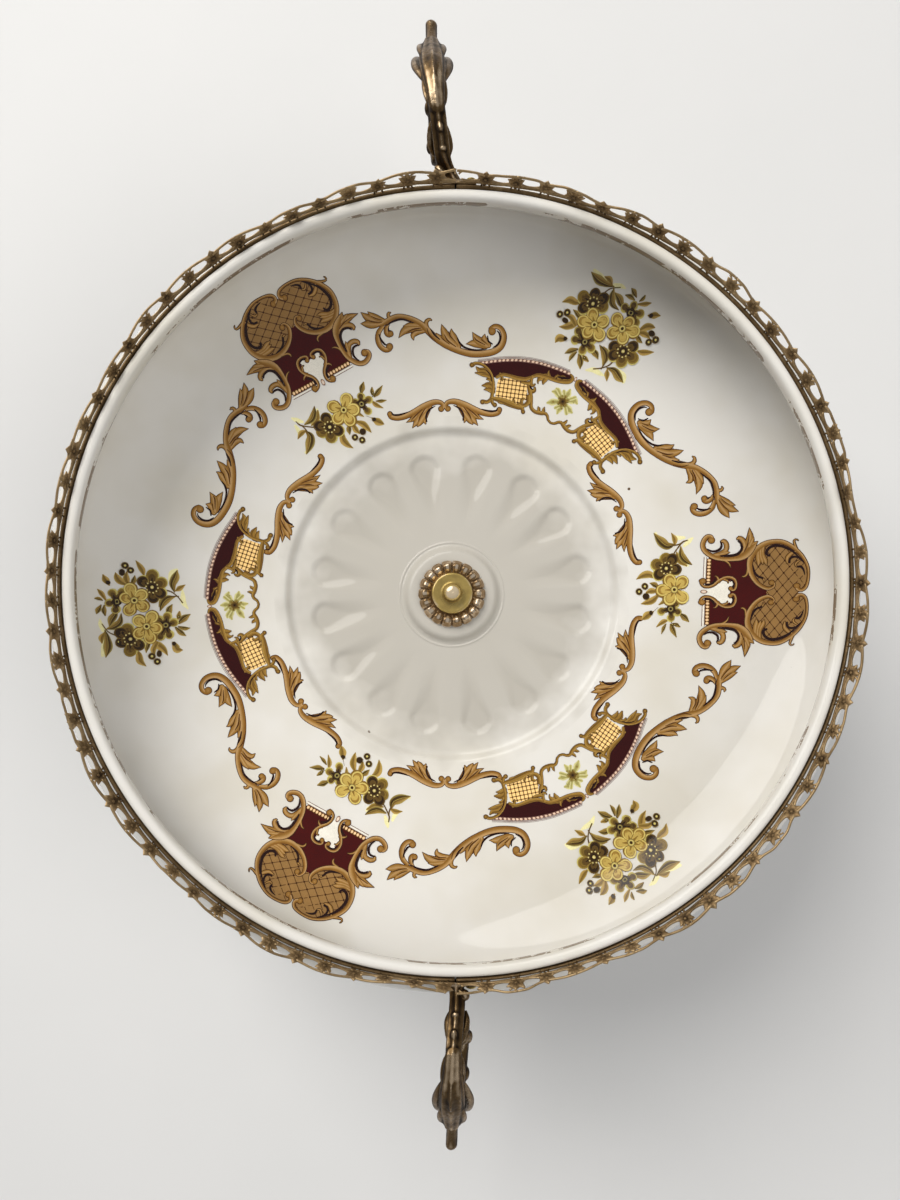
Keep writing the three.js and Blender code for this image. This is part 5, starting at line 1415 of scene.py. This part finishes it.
def handlePiece(name, turnDegrees, pose, replaced):
    shape = Shape()

    # bends each form as the whole handle has been bent, and sets it on the band
    def lay(grid):
        x, y, z = grid[..., 0], grid[..., 1], grid[..., 2]
        x = x + z * math.tan(math.radians(pose["lean"])) + y * math.tan(math.radians(pose["bend"]))
        x = x + pose["shift"] * smoothstep(0, handle["rootLength"], y)
        x = x + pose["sag"] * np.sin(math.pi * np.clip(y / handle["length"], 0, 1))
        shape.addGrid(np.stack([x, y + handle["plateInner"], z + bowl["rimTop"]], axis=-1))

    lay(barGrid(handle["scroll"], 0.5, 48, groove=0.11, grooves=3))
    lay(barGrid(handle["leaf"], 0.35, 72, groove=0.06, grooves=4, veins=0.012, veinPitch=3.4))
    lay(barGrid(handle["nose"], 0.4, 32))
    lay(barGrid(handle["rootCurl"], 0.6, 24))
    lay(ballGrid((0, 30.2, -30.2), (3.0, 2.9, 2.9), rings=12, sides=20))
    # beads on the root and the crown, the rib of the leaf and the tip of the nose
    lay(ballGrid((0.2, 9.0, 4.4), (1.25, 1.5, 1.0), tilt=0.6))
    lay(ballGrid((0.1, 14.3, 8.0), (1.15, 2.9, 1.4), tilt=0.5))
    lay(ballGrid((0.1, 33.5, 9.6), (0.55, 6.5, 0.9), tilt=0.42))
    lay(ballGrid((0, 58.2, -8.8), (2.05, 2.0, 1.8), tilt=0.4))
    # side lobes of the leaf: a long and a short one on each side, and a fold that lies along the body
    for side in (-1, 1):
        lay(lobeGrid([(side * 2.2, 28, 7.6, 0.9), (side * 4.3, 33, 5.0, 1.4), (side * 5.5, 38, 1.0, 1.6),
                      (side * 5.2, 42.5, -3.2, 1.4), (side * 3.8, 45.5, -7.0, 0.8)], 0.5, 20, 0.8))
        lay(lobeGrid([(side * 1.6, 36, 6.2, 0.8), (side * 3.4, 41.5, 2.6, 1.2), (side * 3.8, 45.5, -1.2, 1.2),
                      (side * 2.4, 48.5, -4.6, 0.8)], 0.5, 20, 0.8))
        lay(lobeGrid([(side * 1.0, 19.0, 8.6, 0.7), (side * 2.6, 22, 8.6, 1.0), (side * 3.1, 27, 8.0, 1.1),
                      (side * 2.6, 32, 7.0, 0.8)], 0.5, 18, 0.8))
        lay(lobeGrid([(side * 1.0, 19, 3.6, 0.9), (side * 2.4, 16.5, 1.6, 1.3), (side * 3.0, 13.0, -1.0, 1.4),
                      (side * 2.2, 10.5, -3.2, 0.9)], 0.5, 18, 0.7))
    lay(ballGrid((-2.9, 4.2, -1.0), (1.4, 1.9, 1.6), tilt=0.2))
    # leaves that lie on the lower scroll
    for t, (out, up, size) in enumerate(((50.3, -24.0, 2.2), (46.0, -35.0, 2.1), (34.5, -40.3, 1.9))):
        for side in (-1, 1):
            lay(ballGrid((side * 2.0, out, up), (1.3, size, size * 1.25), tilt=0.5 * t))
    # the plate that is riveted to the band
    plate = np.linspace(-7.0, 7.0, 29)
    rows = []
    for dy, dz in ((0.1, 2.0), (1.5, 2.0), (1.75, 1.7), (1.75, -1.7), (1.5, -2.0), (0.1, -2.0)):
        scale = 1 + 0.12 * np.cos(plate * 0.9)
        angle = plate / handle["plateInner"]
        r = handle["plateInner"] + dy
        rows.append(np.stack([r * np.sin(angle), r * np.cos(angle), handle["plateHeight"] + dz * scale],
                             axis=-1))
    shape.addGrid(np.stack(rows, axis=1))
    x, y, z = shape.all().T
    shape.points = [np.stack([*turned(x, y, math.radians(turnDegrees)), z], axis=1)]
    mesh = castMesh(name, shape, handle["voxel"], 3)
    addPiece(name, mesh, castBrass, "cast_brass", replaced)
    addRelief(mesh, 10, 0.3)
    # painted highlight on the tops and painted shade on the flanks, by how far each surface faces up
    up = meshVectors(mesh, "normal")[:, 2]
    shiftRelief(mesh, 0.7 * smoothstep(0.85, 1.0, up) - 0.75 * (1 - smoothstep(0.2, 0.88, up)) - 0.12)


# how each handle has been knocked out of line
backPose = {"lean": -1.4, "bend": -5.2, "shift": -3.0, "sag": -1.5}
frontPose = {"lean": 7.0, "bend": 3.0, "shift": -0.8, "sag": -0.4}
handlePiece("scroll_handle_back", 0, backPose, "handle_back")
handlePiece("scroll_handle_front", 180, frontPose, "handle_front")


# rosette and cap nut in the middle of the well

rosette = {
    "flutes": 18, "hub": 8.4, "radius": 13.0, "bottom": 80.6, "edge": 79.4, "thickness": 1.2, "segments": 288,
}


def rosettePiece():
    hub, outer, bottom, edge = rosette["hub"], rosette["radius"], rosette["bottom"], rosette["edge"]
    top = bottom + rosette["thickness"]
    profile = profilePath(
        (rodHole, bottom), (1, (hub + 0.8, bottom)),
        (10, (hub + 1.6, bottom + 1.3), (outer - 2.2, bottom + 1.3), (outer - 0.6, edge)),
        (8, (outer + 0.1, edge), (outer + 0.1, edge + 0.9), (outer - 0.5, edge + 1.4)),
        (24, (outer - 1.5, bottom + 2.6), (hub + 2.2, bottom + 2.9), (hub + 0.4, bottom + 1.6)),
        (4, (hub, bottom + 1.3), (hub - 0.4, top), (hub - 1, top)), (4, (rodHole, top)))

    def wave(a):
        return np.abs(np.cos(rosette["flutes"] / 2 * a))

    def press(r, z, a):
        valley = 1 - np.sqrt(np.clip(1 - (1 - wave(a)) ** 2, 0, 1))
        z, r = (z - 0.85 * valley * smoothstep(hub - 0.2, hub + 1.0, r) * smoothstep(bottom - 1.0, top, z),
                r - 1.0 * valley * smoothstep(hub + 0.3, outer - 0.4, r) ** 2)
        return r, z

    mesh, points = turnedPiece("fluted_rosette", profile, rosette["segments"], press, rosetteBrass,
                               "polished_brass", "rosette", 8, 0.3)
    # painted highlight: a bright streak along the crown of each petal beside the cap
    away = np.hypot(points[:, 0], points[:, 1])
    ridge = smoothstep(0.82, 1.0, wave(np.arctan2(points[:, 1], points[:, 0])))
    crown = smoothstep(hub, hub + 0.5, away) * (1 - smoothstep(outer - 2.4, outer - 1.2, away))
    shiftRelief(mesh, 1.1 * ridge * crown)


cap = {"radius": 7.9, "bottom": 82.1, "rim": 84.3, "dish": 84.1, "dome": 3.45, "top": 89.7, "segments": 96}


def capPiece():
    r, rim, dish, dome, top = cap["radius"], cap["rim"], cap["dish"], cap["dome"], cap["top"]
    profile = profilePath(
        (rodHole, cap["bottom"]), (1, (r - 0.7, cap["bottom"])), (1, (r - 0.6, cap["bottom"])),
        (10, (r + 0.1, cap["bottom"] + 0.6), (r + 0.1, rim), (r - 0.8, rim)),
        (10, (r - 1.2, rim), (r - 1.6, dish), (dome + 1.6, dish)),
        (6, (dome + 0.6, dish), (dome + 0.15, dish + 0.2), (dome, dish + 1.0)),
        (4, (dome, top - 3.0)), (12, (dome, top - 0.9), (dome * 0.55, top), (0.02, top)),
        (1, (0.02, top - 0.85)), (1, (rodHole, top - 1.3)))
    mesh, points = turnedPiece("domed_cap_nut", profile, cap["segments"], None, polishedBrass,
                               "polished_brass", "cap_nut", 4, 0.2)
    # painted highlight on the top of the dome and painted shade round its foot
    up, onDome = meshVectors(mesh, "normal")[:, 2], smoothstep(dish + 0.6, dish + 1.2, points[:, 2])
    shiftRelief(mesh, onDome * (1.2 * smoothstep(0.72, 0.97, up) - 1.2 * (1 - smoothstep(0.3, 0.72, up))))


rosettePiece()
capPiece()


# pedestal: collars, porcelain stem, cast base on four scroll feet

upperCollar = {"bottom": 58.3, "top": 65.3, "radius": 39.0, "hub": 22.5, "lipInner": 34.4, "lip": 1.6,
               "lipHeight": 2.6, "gadroons": 48, "segments": 576}


def upperCollarPiece():
    bottom, top, radius, hub = (upperCollar[key] for key in ("bottom", "top", "radius", "hub"))
    lipInner, lip, lipTop = upperCollar["lipInner"], upperCollar["lip"], top + upperCollar["lipHeight"]
    profile = profilePath(
        (rodHole, bottom), (4, (hub - 1, bottom)),
        (8, (hub + 1, bottom), (hub + 0.6, bottom + 1.2), (hub + 1.8, bottom + 1.4)),
        (22, (hub + 6, bottom + 1.7), (radius - 5, top - 4.2), (radius - 3, top - 2)),
        (12, (radius + 0.4, top - 1.6), (radius + 0.4, top + 0.9), (radius - 1.2, top + 1.1)),
        (10, (lipInner + 2.0, top + 1.3), (lipInner + lip + 0.2, lipTop - 0.6), (lipInner + lip / 2, lipTop)),
        (3, (lipInner, lipTop - 0.3)), (5, (lipInner, top)), (6, (rodHole, top)))

    def press(r, z, a):
        on = smoothstep(hub + 2.5, hub + 6, r) * smoothstep(radius - 1.8, radius - 4, r) * (z < top - 1.2)
        wave = np.sqrt(np.abs(np.cos(upperCollar["gadroons"] / 2 * a)))
        return r, z + on * 0.7 * (1 - wave)

    turnedPiece("saucer_collar", profile, upperCollar["segments"], press, stampedBrass, "stamped_brass",
                "upper_collar", 6, 0.2)


stem = {"bottom": 30.2, "top": 58.2, "bottomRadius": 25.0, "topRadius": 20.0, "waist": 11.5, "flange": 4.0,
        "segments": 192}


def stemPiece():
    low, high, waist, crown = stem["bottom"], stem["top"], stem["waist"], stem["topRadius"]
    foot, step, shoulder = stem["bottomRadius"], low + stem["flange"], high - stem["flange"]
    profile = profilePath(
        (bowl["bore"], low), (4, (foot - 0.6, low)), (4, (foot, low), (foot, low + 0.2), (foot, low + 0.6)),
        (4, (foot, step - 0.8)), (6, (foot, step + 0.2), (foot - 1.5, step), (foot - 3, step + 0.2)),
        (20, (waist + 4.5, step + 1.4), (waist, low + 8.5), (waist, low + 14.5)),
        (2, (waist + 1.0, low + 14.9)), (6, (waist + 1.9, low + 15.3), (waist + 1.9, low + 16.7),
                                         (waist + 1.0, low + 17.1)),
        (2, (waist, low + 17.5)),
        (14, (waist, shoulder - 3.6), (crown - 4, shoulder), (crown, high - stem["flange"] * 0.7)),
        (4, (crown, high - 0.4)), (2, (crown - 0.5, high)), (4, (bowl["bore"], high)))
    stemGlaze = glazeMaterial("stem glaze", [(24.2, 26.0, 33.0, 33.9, 0.4), (12.9, 14.5, 45.2, 47.2, 0.4),
                                            (18.8, 21.0, 55.6, 56.6, 0.4)])
    mesh = makeMesh("porcelain_stem", *revolve(profile, stem["segments"]))
    addPiece("porcelain_stem", mesh, stemGlaze, "porcelain", "stem")
    faceOutward(mesh)


lowerCollar = {"bottom": 26.1, "seat": 4.0, "lipInner": 25.4, "lip": 1.6, "lipHeight": 2.6, "beads": 72,
               "segments": 720}


def lowerCollarPiece():
    bottom, inner, width = lowerCollar["bottom"], lowerCollar["lipInner"], lowerCollar["lip"]
    lip, seat = inner + width, bottom + lowerCollar["seat"]
    top = seat + lowerCollar["lipHeight"]
    profile = profilePath(
        (rodHole, bottom), (5, (lip + 1.6, bottom)),
        (12, (lip + 3.2, bottom + 0.2), (lip + 3.2, bottom + 2.2), (lip + 1.4, bottom + 2.5)),
        (6, (lip, bottom + 2.9), (lip, bottom + 3.4), (lip, seat)), (4, (lip, top - 0.8)),
        (5, (lip, top), (inner + width * 0.6, top), (inner + width / 2, top)),
        (3, (inner, top - 0.2)), (4, (inner, seat)), (5, (rodHole, seat)))

    def press(r, z, a):
        bead = np.abs(np.cos(lowerCollar["beads"] / 2 * a)) ** 0.5
        return r - smoothstep(lip + 1.2, lip + 2.4, r) * 0.7 * (1 - bead), z

    turnedPiece("beaded_collar", profile, lowerCollar["segments"], press, stampedBrass, "stamped_brass",
                "lower_collar", 5, 0.2)


base = {
    "edge": 12.0, "top": 26.0, "topRadius": 30.0, "plateRadius": 50.0, "shell": 4.5, "footWidth": 11.0,
    "feet": 4, "leaves": 12, "segments": 360, "voxel": 0.53,
}


def basePiece():
    shape = Shape()
    edge, top, topRadius, plate, shell = (base[key] for key in ("edge", "top", "topRadius", "plateRadius",
                                                                "shell"))
    profile = profilePath(
        (rodHole, top - shell), (6, (topRadius - 8, top - shell)),
        (20, (topRadius - 1, top - shell - 0.6), (topRadius + 4, top - shell - 4), (plate - shell, edge)),
        (4, (plate - 0.2, edge)), (10, (plate + 1.1, edge + 0.4), (plate + 1.1, edge + 2.6),
                                   (plate - 0.6, edge + 3)),
        (5, (plate - 2, edge + 3.1), (plate - 2.4, edge + 3.3), (plate - 3, edge + 3.9)),
        (40, (plate - 9, edge + 5.4), (topRadius + 4.5, top - 6.5), (topRadius + 1.2, top - 1.6)),
        (5, (topRadius + 0.9, top - 0.4), (topRadius + 0.5, top), (topRadius - 0.4, top)),
        (8, (rodHole, top)))

    # raised leaves round the dome
    def press(r, z, a):
        onDome = smoothstep(topRadius + 1.5, topRadius + 4, r) * smoothstep(plate - 2.6, plate - 4.5, r)
        part = a * base["leaves"] / 2
        leaf = np.abs(np.cos(part)) ** 0.6
        small = np.abs(np.cos(part * 5)) ** 0.8
        share = np.clip((r - topRadius) / (plate - topRadius), 0, 1)
        lobe = 0.9 * leaf * (1 - 0.4 * share) + 0.35 * small * leaf
        ripple = 0.18 * np.cos(2 * math.pi * (share * 5 + 0.5 * np.abs(np.sin(part))))
        return r, z - onDome * (z > edge + 3.4) * (1.15 - lobe - ripple * leaf)

    shape.add(*revolve(profile, base["segments"], press))
    half = base["footWidth"] / 2
    foot = [barGrid([(34, edge + 3.0, half * 0.7, 1.6), (42, edge + 3.0, half * 0.85, 2.0),
                     (49, edge + 2.2, half * 0.9, 2.2), (53.2, edge - 2.5, half * 0.85, 2.2),
                     (53.0, edge - 6.5, half * 0.8, 2.0), (56.5, 3.1, half * 0.8, 2.0),
                     (58.6, 2.4, half * 0.75, 2.0)],
                    0.5, 32, groove=0.05, grooves=3, veins=0.04, veinPitch=3.0),
            ballGrid((0, 57.0, 3.0), (half * 0.95, 3.2, 2.9), rings=12, sides=24),
            ballGrid((0, 52.0, edge + 1.5), (half * 0.75, 2.6, 2.2), tilt=0.7)]
    foot += [lobeGrid([(side * 2.6, 40, edge + 2.2, 1.6), (side * 4.6, 47, edge + 0.6, 2.0),
                       (side * 4.9, 51, edge - 4.0, 1.5), (side * 3.4, 51.5, edge - 8.0, 0.9)], 0.5, 18, 0.7)
             for side in (-1, 1)]
    for k in range(base["feet"]):
        for grid in foot:
            x, y = turned(grid[..., 1], grid[..., 0], math.radians(45 + 90 * k))
            shape.addGrid(np.stack([x, y, grid[..., 2]], axis=-1))
    mesh = castMesh("footed_base", shape, base["voxel"], 2)
    # the feet stand flat
    co = meshVectors(mesh, "co")
    co[:, 2] = np.maximum(co[:, 2], 0)
    mesh.vertices.foreach_set("co", co.ravel().astype(np.float32))
    addPiece("footed_base", mesh, castBrass, "cast_brass", "base")
    addRelief(mesh, 10, 0.4)


upperCollarPiece()
stemPiece()
lowerCollarPiece()
basePiece()


# pieces that keep their own shape and get a finish
rivets = ["handle_rivet_" + place for place in ("back_left", "back_right", "front_left", "front_right")]
for names, material in ((("rosette_pad", "bowl_pad"), pressedFelt), (rivets, polishedBrass),
                        (("tie_rod", "base_washer", "base_nut"), plainSteel)):
    for name in names:
        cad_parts[name].data.materials.clear()
        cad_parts[name].data.materials.append(material)


# floor, lights and camera

def paleFloor():
    material, tree, shader = newMaterial("pale floor")
    place = tree.nodes.new("ShaderNodeTexCoord").outputs["Object"]
    colour = mixColour(tree, noiseNode(tree, place, 8.0), (0.60, 0.60, 0.59, 1), (0.64, 0.635, 0.625, 1))
    tree.links.new(colour, shader.inputs["Base Color"])
    shader.inputs["Roughness"].default_value = 0.85
    half = 2000
    corners = [(-half, -half, 0), (half, -half, 0), (half, half, 0), (-half, half, 0)]
    floor = addObject("floor", makeMesh("floor", corners, [[0, 1, 2, 3]]))
    floor.data.materials.append(material)


def softLight(name, place, size, power, colour):
    lamp = bpy.data.lights.new(name, "AREA")
    lamp.shape = "DISK"
    lamp.size = size
    lamp.energy = power
    lamp.color = colour
    obj = addObject(name, lamp)
    obj.location = place
    obj.rotation_euler = (Vector((0, 0, 0.1)) - Vector(place)).to_track_quat("-Z", "Y").to_euler()
    return obj


paleFloor()
# the large soft lights are kept out of reflections, which show a dimmer pane instead
softLight("window", (-0.95, 1.1, 1.55), 1.4, 48, (1.0, 0.98, 0.95)).visible_glossy = False
softLight("fill", (1.2, -0.5, 1.9), 2.0, 27, (1.0, 0.98, 0.95)).visible_glossy = False
softLight("pane", (-1.0, 1.3, 1.2), 2.4, 29, (1.0, 0.98, 0.94)).visible_diffuse = False
world = bpy.data.worlds.new("room")
world.use_nodes = True
background = world.node_tree.nodes["Background"].inputs
background["Color"].default_value = (0.9, 0.93, 1.0, 1)
background["Strength"].default_value = 0.25
bpy.context.scene.world = world
bpy.context.scene.view_settings.view_transform = "Standard"

# straight above the bowl, a little off its middle, with the frame shifted back to it
view = {"place": (-0.00914, -0.0266, 0.42816), "lens": 36.08, "shiftX": 0.0242, "shiftY": 0.0697}
lens = bpy.data.cameras.new("photo camera")
lens.sensor_fit = "HORIZONTAL"
lens.sensor_width = 36
lens.lens = view["lens"]
lens.shift_x, lens.shift_y = view["shiftX"], view["shiftY"]
lens.clip_start = 0.01
camera = addObject("photo camera", lens)
camera.location = view["place"]
bpy.context.scene.camera = camera
print("scene made")
